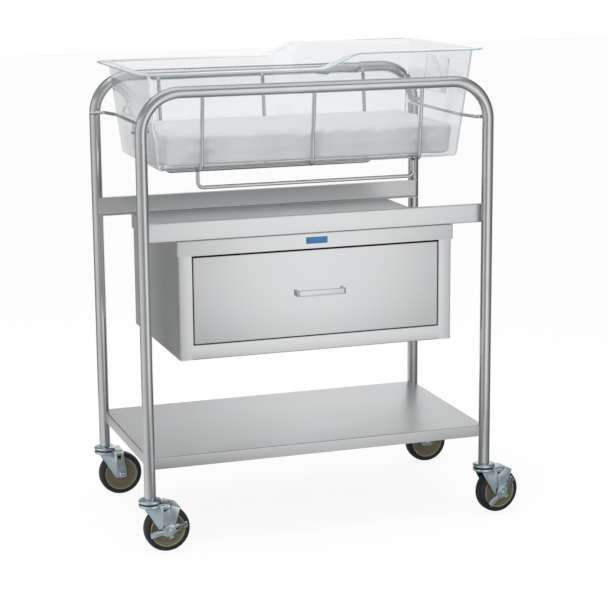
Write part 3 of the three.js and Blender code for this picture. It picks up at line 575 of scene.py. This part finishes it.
# Cabinet of the same sheet: wrapped shell, floor with the bottom rail, hemmed cover
cabinet = dict(x=314.3, y=203.2, low=415.6, top=674.1, openX=283.9, stileEnd=188.2, railTop=447.9, railFoot=15.3,
               coverTop=677.1, coverLow=643.8, coverOut=3.3, hem=2.9, flush=0.05, lap=6.0, sheet=1.5, gap=0.3)
x, y, low, top, inX, inY = (cabinet[key] for key in ("x", "y", "low", "top", "openX", "stileEnd"))
wrap = [(-inX, -inY), (-inX, -y), (-x, -y), (-x, y), (x, y), (x, -y), (inX, -y), (inX, -inY)]
bm = foldedSheet([(a, b, low) for a, b in wrap], (0, 0, top - low), (0, 0, (low + top) / 2))
addPiece("wrapped_shell", bm, sheetUpright, "frame", ["cabinet_shell"])
half, face = inX + cabinet["lap"], -y - cabinet["flush"]  # welded and ground flush over the stiles
bm = foldedSheet([(-half, -inY, cabinet["railTop"]), (-half, face, cabinet["railTop"]), (-half, face, low),
                  (-half, -inY + cabinet["railFoot"], low)], (2 * half, 0, 0), (0, -inY, low + 12))
plate, sheet = bmesh.new(), cabinet["sheet"]
inset, fore = sheet + cabinet["gap"], cabinet["gap"] - inY
addBlock(plate, (2 * (x - inset), y - inset - fore, sheet), (0, (y - inset + fore) / 2, low + sheet / 2))
appendMesh(bm, plate)
addPiece("floor_and_rail", bm, sheetAlong, "frame", ["cabinet_floor"])
coverX, coverY = x + cabinet["coverOut"], y + cabinet["coverOut"]
bm = foldedPan((-coverX, -coverY, cabinet["coverLow"]), (coverX, coverY, cabinet["coverTop"]), (0, 0, -1),
               thickness=cabinet["hem"])
addPiece("hemmed_cover", bm, sheetAlong, "frame", ["cabinet_cover"])
drawer = dict(x=282.4, low=449.4, top=639.9, depth=14.0, bend=2.0, lip=24.0)
bm = foldedPan((-drawer["x"], -y, drawer["low"]), (drawer["x"], drawer["depth"] - y, drawer["top"]), (0, 1, 0),
               bend=drawer["bend"], lip=drawer["lip"])
addPiece("pan_drawer_front", bm, sheetAlong, "drawer", ["drawer_front"])

# Inside the cabinet the CAD solids are kept
finish = dict(drawer_box=sheetAlong, drawer_panel_front=sheetAlong, drawer_panel_back=sheetAlong)
for side in ("_left", "_right"):
    finish["slide_bracket" + side] = sheetUpright
    finish.update({"slide_" + member + side: zincSteel for member in ("outer", "middle", "inner")})
for node, material in finish.items():
    for holder in frame["nodes"][node].material_slots:
        holder.material = material
print("sheet metal folded")

# Two end frames bent from one inch tube
for name, side in frontRear:
    x, y = tube["legX"], side * tube["legY"]
    bm = roundBar([(-x, y, tube["foot"]), (-x, y, tube["top"]), (x, y, tube["top"]), (x, y, tube["foot"])],
                  tube["bend"], tube["radius"], sides=40, steps=20)
    addPiece(name + "_tube", bm, tubeSteel, "frame", [name + "_frame_tube"])
print("end frames bent")

# Wire cradle; the CAD wires measure twice their flats across, and these lie where those do
wires = dict(radius=4.0, flats=3.7, bend=12.0, draft=radians(6.2), baseX=342.0, baseY=164.075, top=993.0,
             inner=tube["legY"] - 12.27 - 0.3, gap=2.0, hangers=dict(foot=-250, middle=0, head=250),
             dropY=136.0, dropTop=4.0, dropDepth=42.0, endZ=914.0, endOut=8.1, tail=15.0, lap=20.0, span=150.0)
wires["run"] = tubFloor - 0.3 - wires["flats"]


def wallAt(z, base):
    return base + tan(wires["draft"]) * (z - tubFloor)


def hangerY(z):
    return wallAt(z, wires["baseY"]) + wires["gap"] + wires["radius"]


def addWire(name, half, axis, node):
    half = [Vector(p) for p in half]
    flip = [Vector([-c if i == axis else c for i, c in enumerate(p)]) for p in half]
    addPiece(name, roundBar(half + flip[::-1], wires["bend"], wires["radius"]), wireSteel, "frame", [node])


top, run = wires["top"], wires["run"]
for name, x in wires["hangers"].items():
    addWire("wire_hanger_" + name, [(x, -wires["inner"], top), (x, -hangerY(top), top), (x, -hangerY(run), run)], 1,
            "hanger_" + name)
for name, side in frontRear:
    x, y = wires["hangers"]["head"], side * wires["dropY"]
    addWire("hung_wire_" + name, [(-x, y, run - wires["dropTop"]), (-x, y, run - wires["dropDepth"])], 0,
            "drop_wire_" + name)
for name, side in (("foot", -1), ("head", 1)):
    z, tailY = wires["endZ"], wires["inner"] - wires["flats"]
    cross = wallAt(z, wires["baseX"]) + wires["endOut"]
    addWire("bowed_wire_" + name, [(side * (tube["legX"] + wires["tail"]), -tailY, z),
                                   (side * (tube["legX"] - wires["lap"]), -tailY, z),
                                   (side * cross, -wires["span"], z)], 1, "end_wire_" + name)

# Weld beads: a collar where a wire ends on a tube or another wire, a small fillet where it lies along a leg
weld = dict(onTube=[(3.8, 3.6), (4.4, 2.2), (5.2, 0.9), (6.2, -0.8), (3.8, -0.8)],
            onWire=[(3.8, -3.4), (4.3, -2.2), (5.0, -1.0), (6.0, 1.2), (3.8, 1.2)], below=4.4,
            fillet=(7, 2.4, 2.2, 1), inset=1.6, rise=3.4)
beads = bmesh.new()
for x in wires["hangers"].values():
    for side in (-1, 1):
        appendMesh(beads, spun(weld["onTube"], 20, closed=True), placed(x, side * wires["inner"], top, side * pi / 2))
for sx, sy in corners:
    appendMesh(beads, spun(weld["onWire"], 20, closed=True),
               placed(sx * wires["hangers"]["head"], sy * wires["dropY"], run - weld["below"]))
    for way in (-1, 1):
        fillet = bmesh.new()
        bmesh.ops.create_uvsphere(fillet, u_segments=16, v_segments=8, radius=1)
        at = placed(sx * tube["legX"], sy * (wires["inner"] - weld["inset"]), wires["endZ"] + way * weld["rise"])
        appendMesh(beads, fillet, at @ Matrix.Diagonal(weld["fillet"]))
addPiece("weld_beads", beads, weldSteel, "frame")
print("cradle bent and welded")

# Drawer pull: square-edged flat bar with its ends turned back to the drawer
pull = dict(width=113.0, projection=26.0, height=13.0, thickness=6.0, rise=4.0, bend=3.4)
x, y = (pull["width"] - pull["thickness"]) / 2, -cabinet["y"] - cabinet["gap"]
z, grip = (drawer["low"] + drawer["top"]) / 2 + pull["rise"], y - pull["projection"] + pull["thickness"] / 2
bm = flatBar((pull["thickness"], pull["height"]), [(-x, y, z), (-x, grip, z), (x, grip, z), (x, y, z)], pull["bend"], 6,
             Matrix.Rotation(pi / 2, 3, "X"))
softenEdges(bm, 0.7)
bar = addPiece("bar_pull", bm, sheetAlong, "drawer", ["drawer_pull"])
bar.visible_glossy = False  # the satin drawer front shows no image of it
print("pull bent")

# Clear tub: a box with rounded corners and floor, drawn out by its draft, with a flat rim that steps up
tub = dict(corner=8.0, fillet=6.0, wall=3.0, low=1036.0, step=31.5, stepStart=6.0, stepRun=90.0, stepCuts=16,
           eased=0.2, rimX=393.5, rimY=222.1, rimCorner=46.0, neck=4.0, edge=0.9, wallZone=60.0)


def rimAt(x):
    t, eased = min(max((x - tub["stepStart"]) / tub["stepRun"], 0), 1), tub["eased"]
    rise = (t - eased / 2) / (1 - eased)
    if t < eased:
        rise = t ** 2 / (2 * eased * (1 - eased))
    elif t > 1 - eased:
        rise = 1 - (1 - t) ** 2 / (2 * eased * (1 - eased))
    return tub["low"] + tub["step"] * rise


bm = bmesh.new()
top = tub["low"] - tub["wall"]
addBlock(bm, (2 * wires["baseX"], 2 * wires["baseY"], top - tubFloor), (0, 0, (top + tubFloor) / 2))
bmesh.ops.delete(bm, geom=[max(bm.faces, key=lambda f: f.calc_center_median().z)], context="FACES_ONLY")
roundEdges(bm, uprightEdges(bm), tub["corner"], 8)
lower = [e for e in bm.edges if len(e.link_faces) == 2 and all(v.co.z < tubFloor + 0.1 for v in e.verts)]
roundEdges(bm, lower, tub["fillet"], 4)
for i in range(-1, tub["stepCuts"] + 2):
    cutAcross(bm, (tub["stepStart"] + tub["stepRun"] * i / tub["stepCuts"], 0, 0), (1, 0, 0))
mouth = [e for e in bm.edges if e.is_boundary]
for v in {v for e in mouth for v in e.verts}:
    v.co.z = rimAt(v.co.x) - tub["wall"]
for v in bm.verts:  # both pairs of walls lean out by the draft
    out = wallAt(v.co.z, 0)
    if abs(v.co.x) > wires["baseX"] - tub["wallZone"]:
        v.co.x += out if v.co.x > 0 else -out
    if abs(v.co.y) > wires["baseY"] - tub["wallZone"]:
        v.co.y += out if v.co.y > 0 else -out
for v in onlyVerts(bmesh.ops.extrude_edge_only(bm, edges=mouth)["geom"]):
    sx, sy = (1 if v.co.x > 0 else -1), (1 if v.co.y > 0 else -1)
    alongX = abs(v.co.x) - wallAt(v.co.z, wires["baseX"]) + tub["corner"]
    alongY = abs(v.co.y) - wallAt(v.co.z, wires["baseY"]) + tub["corner"]
    if alongX > -0.01:  # round the corner
        turn = atan2(max(alongY, 0), max(alongX, 0))
        v.co.x = sx * (tub["rimX"] - tub["rimCorner"] * (1 - cos(turn)))
        v.co.y = sy * (tub["rimY"] - tub["rimCorner"] * (1 - sin(turn)))
    else:
        v.co.y = sy * tub["rimY"]
roundEdges(bm, mouth, tub["neck"], 4)
clearTub = addPiece("clear_tub", bm, clearSheet, "tub", ["tub"])
thick = clearTub.modifiers.new("wall", "SOLIDIFY")
thick.thickness, thick.offset, thick.use_even_offset = tub["wall"] * mm, -1, True
# The cut rim of the wall takes the edge painted pale blue for light that runs along the sheet
clearTub.data.materials.append(glowPaintedEdge)
thick.material_offset_rim = 1
rimRound = clearTub.modifiers.new("rim edge", "BEVEL")
rimRound.width, rimRound.segments = tub["edge"] * mm, 3
rimRound.limit_method, rimRound.angle_limit = "ANGLE", radians(55)
clearTub.visible_shadow = False
print("tub formed")

# Card pocket on the head wall: a thin cover on a strip along three edges, with a thumb notch at its mouth
card = dict(width=137.0, height=82.0, skin=1.5, slot=1.6, gap=0.3, strip=3.1, belowRim=34.0, notch=13.0, notchDepth=9.0)
halfW, halfH = card["width"] / 2, card["height"] / 2
notchX, notchZ = card["notch"] * 0.7, halfH - card["notchDepth"]
bm = flatPlate([(-halfW, -halfH, 3), (halfW, -halfH, 3), (halfW, halfH, 2), (card["notch"], halfH, 2),
                (notchX, notchZ, 6), (-notchX, notchZ, 6), (-card["notch"], halfH, 2), (-halfW, halfH, 2)],
               card["skin"], 0.3)
moveAll(bm, (0, -card["slot"] - card["gap"], 0))
x, y, z = halfW - card["strip"] / 2, -card["slot"] / 2 - card["gap"], halfH - card["strip"] / 2
appendMesh(bm, flatBar((card["strip"], card["slot"]), [(-x, y, halfH), (-x, y, -z), (x, y, -z), (x, y, halfH)], 2, 3))
middleZ, draft = tub["low"] + tub["step"] - card["belowRim"] - halfH, wires["draft"]
onWall = Matrix(((0, -cos(draft), sin(draft), wallAt(middleZ, wires["baseX"])), (1, 0, 0, 0),
                 (0, sin(draft), cos(draft), middleZ), (0, 0, 0, 1)))
pocket = addPiece("clear_card_pocket", bm, clearSheet, "tub", ["card_pocket"], atHome @ onWall)
pocket.visible_shadow = False
print("card pocket made")

# Mattress in a fitted sheet: a rounded block swollen by cloth pressure, then drawn in at its corners. Rolls are
# length, width, layer of noise and height; pinches are place, width and depth; creases, at the head and at the
# foot, are slant, length and depth.
pad = dict(halfX=336.0, halfY=158.0, bottom=829.4, thickness=68.0, room=(5.0, 5.0, 3.0), corner=14.0, soft=5.0,
           voxel=5.0, pressure=3.0, cap=3.0, frames=20, rolls=[(150, 60, 3, 2.2), (60, 34, 9, 0.9)],
           gather=dict(size=70.0, count=16, slant=22.0, depth=0.91), pinch=dict(slant=0.35, edge=6.0, size=46.0),
           pinches=[(-20, 36, 8.0), (36, 15, 4.4), (96, 18, 3.4), (150, 18, 5.2), (190, 13, 3.6), (-150, 20, 2.6),
                    (-250, 26, 3.0)],
           slack=95.0, creases=[(0.75, 6.5, 3.2), (-0.5, 5.0, 1.8)], sag=5.0, sagSize=120.0, lean=0.02, foot=0.975)


def swollen(obj):
    cloth = obj.modifiers.new("Cloth", "CLOTH")
    cloth.settings.quality = 6
    cloth.settings.mass = 0.3
    cloth.settings.use_pressure = True
    cloth.settings.uniform_pressure_force = pad["pressure"]
    cloth.settings.effector_weights.gravity = 0
    cloth.point_cache.frame_start, cloth.point_cache.frame_end = 1, pad["frames"]
    for number in range(1, pad["frames"] + 1):
        scene.frame_set(number)
    graph = bpy.context.evaluated_depsgraph_get()
    done = [v.co.copy() for v in obj.evaluated_get(graph).data.vertices]
    obj.modifiers.remove(cloth)
    scene.frame_set(1)
    return done


# Where a point of the sheet goes, in mm: folds, gathers, pinches and creases
def draped(co):
    halfX, halfY, gather, pinch = (pad[key] for key in ("halfX", "halfY", "gather", "pinch"))
    side = max(abs(co.x) / halfX, abs(co.y) / halfY)
    lift = max(0, min(1, (co.z - pad["bottom"]) / pad["thickness"]))
    # low folds over the top, stretched lengthwise, and gathers that run down each rounded corner
    rolls = sum(noise.noise(Vector((co.x / long, co.y / wide, layer))) * high
                for long, wide, layer, high in pad["rolls"])
    co.z += rolls * lift * (1 - 0.5 * side ** 4)
    edgeX, edgeY = halfX - abs(co.x), halfY - abs(co.y)
    near = max(0, 1 - hypot(edgeX, edgeY) / gather["size"])
    ripple = sin(atan2(edgeY, edgeX) * gather["count"] + co.z / gather["slant"]) * near * gather["depth"]
    co.x -= ripple if co.x > 0 else -ripple
    co.y -= ripple if co.y > 0 else -ripple
    # the front top edge is pinched near the middle and again toward the head
    for pinchX, width, deep in pad["pinches"]:
        fore = co.y + halfY
        away = hypot((co.x - pinchX - fore * pinch["slant"]) / width, (fore - pinch["edge"]) / pinch["size"])
        dent = deep * max(0, 1 - away) ** 1.5 * lift
        co.z -= dent
        co.y += dent * 0.5
    # slack cloth creases slantwise at both ends, and the head end's front corner sags
    atHead, atFoot = (max(0, 1 - (halfX - way * co.x) / pad["slack"]) for way in (1, -1))
    crease = sum(sin((co.x * slant + co.z) / long) * atEnd * deep
                 for atEnd, (slant, long, deep) in zip((atHead, atFoot), pad["creases"]))
    co.y += crease * (0.35 + noise.noise(Vector((co.x / 30, co.y / 50, co.z / 24)))) * (1 if co.y < 0 else -1)
    co.z -= pad["sag"] * atHead ** 2 * lift * max(0, 1 - (co.y + halfY) / pad["sagSize"])
    # it follows the leaning walls and lies nearer the head
    co.x *= 1 + pad["lean"] * lift if co.x > 0 else pad["foot"]
    co.y *= 1 + pad["lean"] * lift
    co.z = max(co.z, pad["bottom"])
    return co


bm = bmesh.new()
addBlock(bm, Vector((2 * pad["halfX"], 2 * pad["halfY"], pad["thickness"])) - Vector(pad["room"]),
         (0, 0, pad["bottom"] + pad["thickness"] / 2))
roundEdges(bm, uprightEdges(bm), pad["corner"], 6)
hems = [e for e in bm.edges if abs(e.verts[0].co.z - e.verts[1].co.z) < 0.1 and e.calc_face_angle() > 0.5]
roundEdges(bm, hems, pad["soft"], 4)
faceOut(bm)
bm.transform(atHome)
mattress = addObject("sheeted_mattress", bm, sheetCotton)
remesh = mattress.modifiers.new("Remesh", "REMESH")
remesh.mode, remesh.voxel_size = "VOXEL", pad["voxel"] * mm
graph = bpy.context.evaluated_depsgraph_get()
mattress.data = bpy.data.meshes.new_from_object(mattress.evaluated_get(graph))
mattress.modifiers.clear()
for v, there in zip(mattress.data.vertices, swollen(mattress)):
    move = there - v.co
    v.co += move * min(1, pad["cap"] * mm / max(move.length, 1e-9))
toHome = atHome.inverted()
for v in mattress.data.vertices:
    v.co = atHome @ draped(toHome @ v.co)
mattress.data.shade_smooth()
mattress.data.materials.clear()
mattress.data.materials.append(sheetCotton)
finer = mattress.modifiers.new("Subdivision", "SUBSURF")
finer.levels = finer.render_levels = 1
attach(mattress, "mattress")
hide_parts("mattress")
print("mattress swollen:", len(mattress.data.vertices), "points")

# Casters, drawn about the swivel axis with the wheel trailing toward +x, each then turned on its leg
caster = dict(lead=34.9, wheel=50.8, forkOuter=20.975, cheekTop=108.4, plate=2.5, wing=2.4, wingRun=2.6, gap=0.3,
              brakePlate=2.0, brakeRoom=6.1, tilts=dict(front_left=12, front_right=42))


def stemSpun():
    return spun([(0, 158), (8, 158), (10.4, 155), (10.4, 120.7), (15.2, 120.7), (17.5, 120.4), (21.0, 119.7),
                 (23.6, 118.5), (25.1, 116.7), (25.5, 115.1), (25.2, 113.6), (24.3, 112.6), (23.0, 112.2),
                 (19.5, 112.2), (19.5, 110.1), (0, 110.1)], 64)


# A dark rubber ring filling the slot between the races: a dark thing put there as painted shade for the shadowed gap
def shadeRingSpun():
    return spun([(19.6, 109.5), (23.8, 109.5), (23.8, 112.1), (19.6, 112.1)], 48, closed=True)


# One cheek of the fork, seen from outside: a wing set back under the crown, a slanting crease, a flat foot
def forkCheek(side):
    lead, axleZ, top = caster["lead"], caster["wheel"], caster["cheekTop"]
    bm = bmesh.new()
    outline = [(-13.8, top - 1), (-13.6, 102.5), (-12.0, 98.0), (-8.8, 91.5), (lead - 17.5, axleZ - 3.0),
               (lead - 13.5, axleZ - 7.4), (lead + 8.5, axleZ - 7.6), (lead + 12.4, axleZ - 3.5),
               (lead + 12.2, axleZ + 3.5), (lead + 4.2, top)]
    bm.faces.new([bm.verts.new((x, 0, z)) for x, z in outline])
    holeX, holeZ = (lead - 9.6, lead - 1.4), (top - 20.5, top - 10.0)
    for x in holeX:
        cutAcross(bm, (x, 0, 0), (1, 0, 0))
    for z in holeZ:
        cutAcross(bm, (0, 0, z), (0, 0, 1))
    window = [f for f in bm.faces if holeX[0] < f.calc_center_median().x < holeX[1]
              and holeZ[0] < f.calc_center_median().z < holeZ[1]]
    bmesh.ops.delete(bm, geom=window, context="FACES_ONLY")
    for upper, lower in ((13.2, 12.5), (15.8, 15.1)):  # two cuts along the crease
        cutAcross(bm, (lead - upper, 0, top), (axleZ - 7 - top, 0, lower - upper))
    extrudeFaces(bm, bm.faces[:], Vector((0, caster["plate"], 0)))
    for v in bm.verts:  # the wing steps in at the top, not at all at the foot
        share = (v.co.z - axleZ + 7.5) / (top - axleZ + 7.5)
        t = min(max((lead - 12.5 - 0.7 * share - v.co.x) / caster["wingRun"], 0), 1)
        v.co.y += caster["wing"] * t * min(1, share * 1.6)
    faceOut(bm)
    softenEdges(bm, 0.45, 2, 50)
    moveAll(bm, (0, -caster["forkOuter"], 0))
    if side > 0:
        bmesh.ops.scale(bm, verts=bm.verts, vec=(1, -1, 1))
        bmesh.ops.reverse_faces(bm, faces=bm.faces)
    return bm


def forkPressed():
    bm = spun([(0, 101.4), (19.2, 101.4), (22.4, 102.0), (24.5, 103.3), (25.5, 105.3), (25.3, 107.3), (24.4, 108.7),
               (23.0, 109.4), (0, 109.4)], 64)
    lead, top, wide = caster["lead"], caster["cheekTop"], caster["forkOuter"] - 0.2
    bridge = flatPlate([(-6, -wide, 0), (lead + 3.8, -wide, 2), (lead + 3.8, wide, 2), (-6, wide, 0)], 2.6, 0.8)
    appendMesh(bm, bridge, placed(0, 0, top + 0.2, -pi / 2))
    boss = spun([(0, 3.2), (7, 3.2), (9.5, 2.2), (11, 0), (0, 0)], 32)
    appendMesh(bm, boss, placed(lead - 12, 0, top))
    for side in (-1, 1):
        appendMesh(bm, forkCheek(side))
    return bm


# A wheel part: half its outline, mirrored across the middle of the tread and turned about the axle
def wheelTurned(half, steps):
    return spun(half + [(r, -h) for r, h in half[::-1]], steps, closed=True, lying=True)


def coreMoulded():
    bm = wheelTurned([(5.2, 18.1), (12.6, 18.1), (13.4, 17.3), (13.9, 10.6), (14.6, 9.9), (22.0, 9.9), (22.8, 9.2),
                      (23.3, 7.6), (28.4, 7.6), (29.0, 8.2), (29.8, 9.0), (34.6, 9.6), (35.4, 10.6), (36.0, 13.8),
                      (36.7, 14.5), (38.7, 14.5), (39.0, 14.0)], 72)
    ring = bm.verts.layers.float.new("fromAxle")
    for v in bm.verts:
        v[ring] = hypot(v.co.x, v.co.z)
    return bm


def tyreMoulded():
    return wheelTurned([(39.3, 14.2), (39.9, 15.2), (41.4, 15.8), (43.6, 15.875), (45.6, 15.3), (47.5, 14.0),
                        (49.0, 12.0), (50.1, 9.2), (50.65, 6.0), (50.8, 2.4)], 80)


def axleTurned(seat, braked):
    shank, washer = 4.75, 1.4
    half = [(shank, 0), (7.0, 0), (7.3, 0.5), (7.3, 2.2), (6.9, 3.3), (5.6, 4.3), (3.4, 4.9), (0, 5.0)]
    if braked:  # a washer under a hexagon nut
        half = [(shank, 0), (7.4, 0), (7.5, 0.3), (7.5, 1.1), (7.2, washer), (3.2, washer), (3.2, 5.6), (2.6, 6.0),
                (0, 6.0)]
    half = [(r, seat + h) for r, h in half]
    bm = spun([(r, -h) for r, h in half[::-1]] + half, 36, lying=True)
    if braked:
        for side in (-1, 1):
            nut = bmesh.new()
            bmesh.ops.create_circle(nut, cap_ends=True, segments=6, radius=6.3)
            extrudeFaces(nut, nut.faces[:], Vector((0, 0, 3.6)))
            faceOut(nut)
            softenEdges(nut, 0.5)
            at = placed(0, side * (seat + washer), 0, -side * pi / 2)
            appendMesh(bm, nut, at @ Matrix.Rotation(0.3, 4, "Z"))
    return bm


# Brake yoke: a plate each side of the fork, joined over the tread by a ridged shoe
def yokePressed():
    outer, inside, plate = 56.3, caster["forkOuter"] + caster["gap"], caster["brakePlate"]
    tips = [(outer * cos(radians(a)), outer * sin(radians(a))) for a in (62, 83)]
    bm = bmesh.new()
    for side in (-1, 1):
        cheek = flatPlate([(-8, -9.3, 4), (10, -9.3, 4), (16, 14.2, 2), (*tips[0], 2), (*tips[1], 1), (3, 49.5, 1.5),
                           (-10.6, 43.0, 2)], plate, 0.4)
        appendMesh(bm, cheek, placed(0, -inside if side < 0 else inside + plate, 0))
    shoe = bmesh.new()
    low, high, wide, ridge = 54.4, 56.2, inside + 1.6, 1.2
    start, ridges, pitch = radians(61), 7, radians(3.2)
    section = [(low, -wide), (high, -wide), (high, wide), (low, wide)]
    faces = [shoe.faces.new([shoe.verts.new((r, y, 0)) for r, y in section])]
    bmesh.ops.rotate(shoe, verts=shoe.verts, cent=(0, 0, 0), matrix=Matrix.Rotation(-start, 3, "Y"))
    for _ in range(ridges):  # each ridge is a short step out and back along the arc
        for grow, turn in ((0, 0.35), (ridge, 0.15), (0, 0.35), (-ridge, 0.15)):
            last = bmesh.ops.spin(shoe, geom=faces, cent=(0, 0, 0), axis=(0, -1, 0), angle=pitch * turn, steps=1)
            faces = onlyFaces(last["geom_last"])
            for v in [v for v in faces[0].verts if hypot(v.co.x, v.co.z) > (low + high) / 2]:
                v.co += Vector((v.co.x, 0, v.co.z)).normalized() * grow
    faceOut(shoe)
    softenEdges(shoe, 0.25, 1, 30)
    appendMesh(bm, shoe)
    return bm


# Brake lever: rocker with a boss on the axle, a foot pad to the left and an open loop to the right
def leverPressed():
    bm = flatPlate([(-16, -4.6, 2), (-11, -9.4, 3), (-5.7, -12, 3), (6.2, -12, 4), (12, -7.5, 4), (14.5, -2.5, 2),
                    (14.5, 9.6, 2), (6.6, 13.4, 5), (-5.7, 13.4, 5), (-16, 5.6, 3)], 3.4, 0.7)
    plates = [(-0.3, 2.6, 0.7, [(-42.5, -5.4, 3), (-15, -4.6, 0), (-15, 5.6, 0), (-42.5, 5.6, 2.5)]),  # foot pad
              (-0.3, 2.6, 0.7, [(12, 3.2, 0), (37, 3.6, 1.5), (39, 10.4, 0), (12, 9.8, 0)]),  # arm
              (-0.3, 1.6, 0.3, [(-4, -14.6, 0), (4, -14.6, 0), (4, -11, 0), (-4, -11, 0)]),  # web
              (-0.6, 6.2, 0.5, [(-5.5, -15.6, 1), (5.5, -15.6, 1), (5.5, -13.4, 0), (-5.5, -13.4, 0)])]  # tab
    for y, thickness, soft, outline in plates:
        appendMesh(bm, flatPlate(outline, thickness, soft), placed(0, y, 0))
    flange = flatPlate([(-42, 0, 1), (-22, 0, 1), (-22, 5.0, 1.5), (-42, 5.0, 1.5)], 2.2, 0.5)
    appendMesh(bm, flange, placed(0, -1.2, 5.4, -pi / 2))
    bends = [(13, 8.0), (40.6, 9.2), (40.6, -1.6), (27, -0.6), (21, -3.4), (12, -3.4)]
    loop = flatBar((4.4, 3.2), [(x, -1.9, z) for x, z in bends], 3.6, 5, Matrix.Rotation(pi / 2, 3, "Y"))
    softenEdges(loop, 0.7, 2, 60)
    appendMesh(bm, loop)
    rim = spun([(6.2, 0), (9.6, 0), (9.2, 1.6), (8.6, 2.0), (7.4, 2.0), (6.2, 1.4)], 36, closed=True)
    appendMesh(bm, rim, placed(0, -3.2, 0, pi / 2))
    behind = caster["forkOuter"] + 2 * caster["gap"] + caster["brakePlate"]
    moveAll(bm, (0, -behind, 0))
    return bm


for name in casterNames:
    swivel, hub = legFoot[name], Vector(joints["roll_" + name]["pos_m"])
    turned = Matrix.Rotation(atan2(hub.y - swivel.y, hub.x - swivel.x), 4, "Z")
    atLeg = Matrix.Translation((swivel.x, swivel.y, home.z)) @ turned @ Matrix.Scale(mm, 4)
    atAxle = atLeg @ Matrix.Translation((caster["lead"], 0, caster["wheel"]))
    fork, wheel = bodyOf["caster_fork_" + name], bodyOf["tyre_" + name]
    braked = "brake_" + name in joints
    addPiece("plated_stem_" + name, stemSpun(), zincSteel, "frame", ["caster_stem_" + name], atLeg)
    # dark ring in the race slot, painted shade
    addPiece("dark_race_ring_painted_shade_" + name, shadeRingSpun(), treadRubber, "frame", (), atLeg)
    addPiece("plated_fork_" + name, forkPressed(), zincSteel, fork, ["caster_fork_" + name], atLeg)
    addPiece("moulded_core_" + name, coreMoulded(), coreNylon, wheel, ["wheel_core_" + name], atAxle)
    addPiece("moulded_tyre_" + name, tyreMoulded(), treadRubber, wheel, ["tyre_" + name], atAxle)
    seat = caster["forkOuter"] + caster["gap"] + (caster["brakeRoom"] if braked else 0)
    addPiece("turned_axle_" + name, axleTurned(seat, braked), zincSteel, fork, ["axle_" + name], atAxle)
    if braked:
        addPiece("plated_yoke_" + name, yokePressed(), zincSteel, fork, ["brake_yoke_" + name], atAxle)
        tilt = Matrix.Rotation(-radians(caster["tilts"][name]), 4, "Y")
        addPiece("plated_lever_" + name, leverPressed(), zincSteel, bodyOf["brake_lever_" + name],
                 ["brake_lever_" + name], atAxle @ tilt)
print("casters fitted")

# Bare plate on the cover's front lip
tag = dict(width=49.0, height=14.6, x=-3.5, z=661.6, thick=0.8, gap=0.05)
w, h = tag["width"] / 2, tag["height"] / 2
bm = flatPlate([(-w, -h, 1.5), (w, -h, 1.5), (w, h, 1.5), (-w, h, 1.5)], tag["thick"], 0.2)
moveAll(bm, (tag["x"], -cabinet["y"] - cabinet["coverOut"] - tag["gap"], tag["z"]))
addPiece("bare_plate", bm, bluePlate, "frame")
print("plate set")
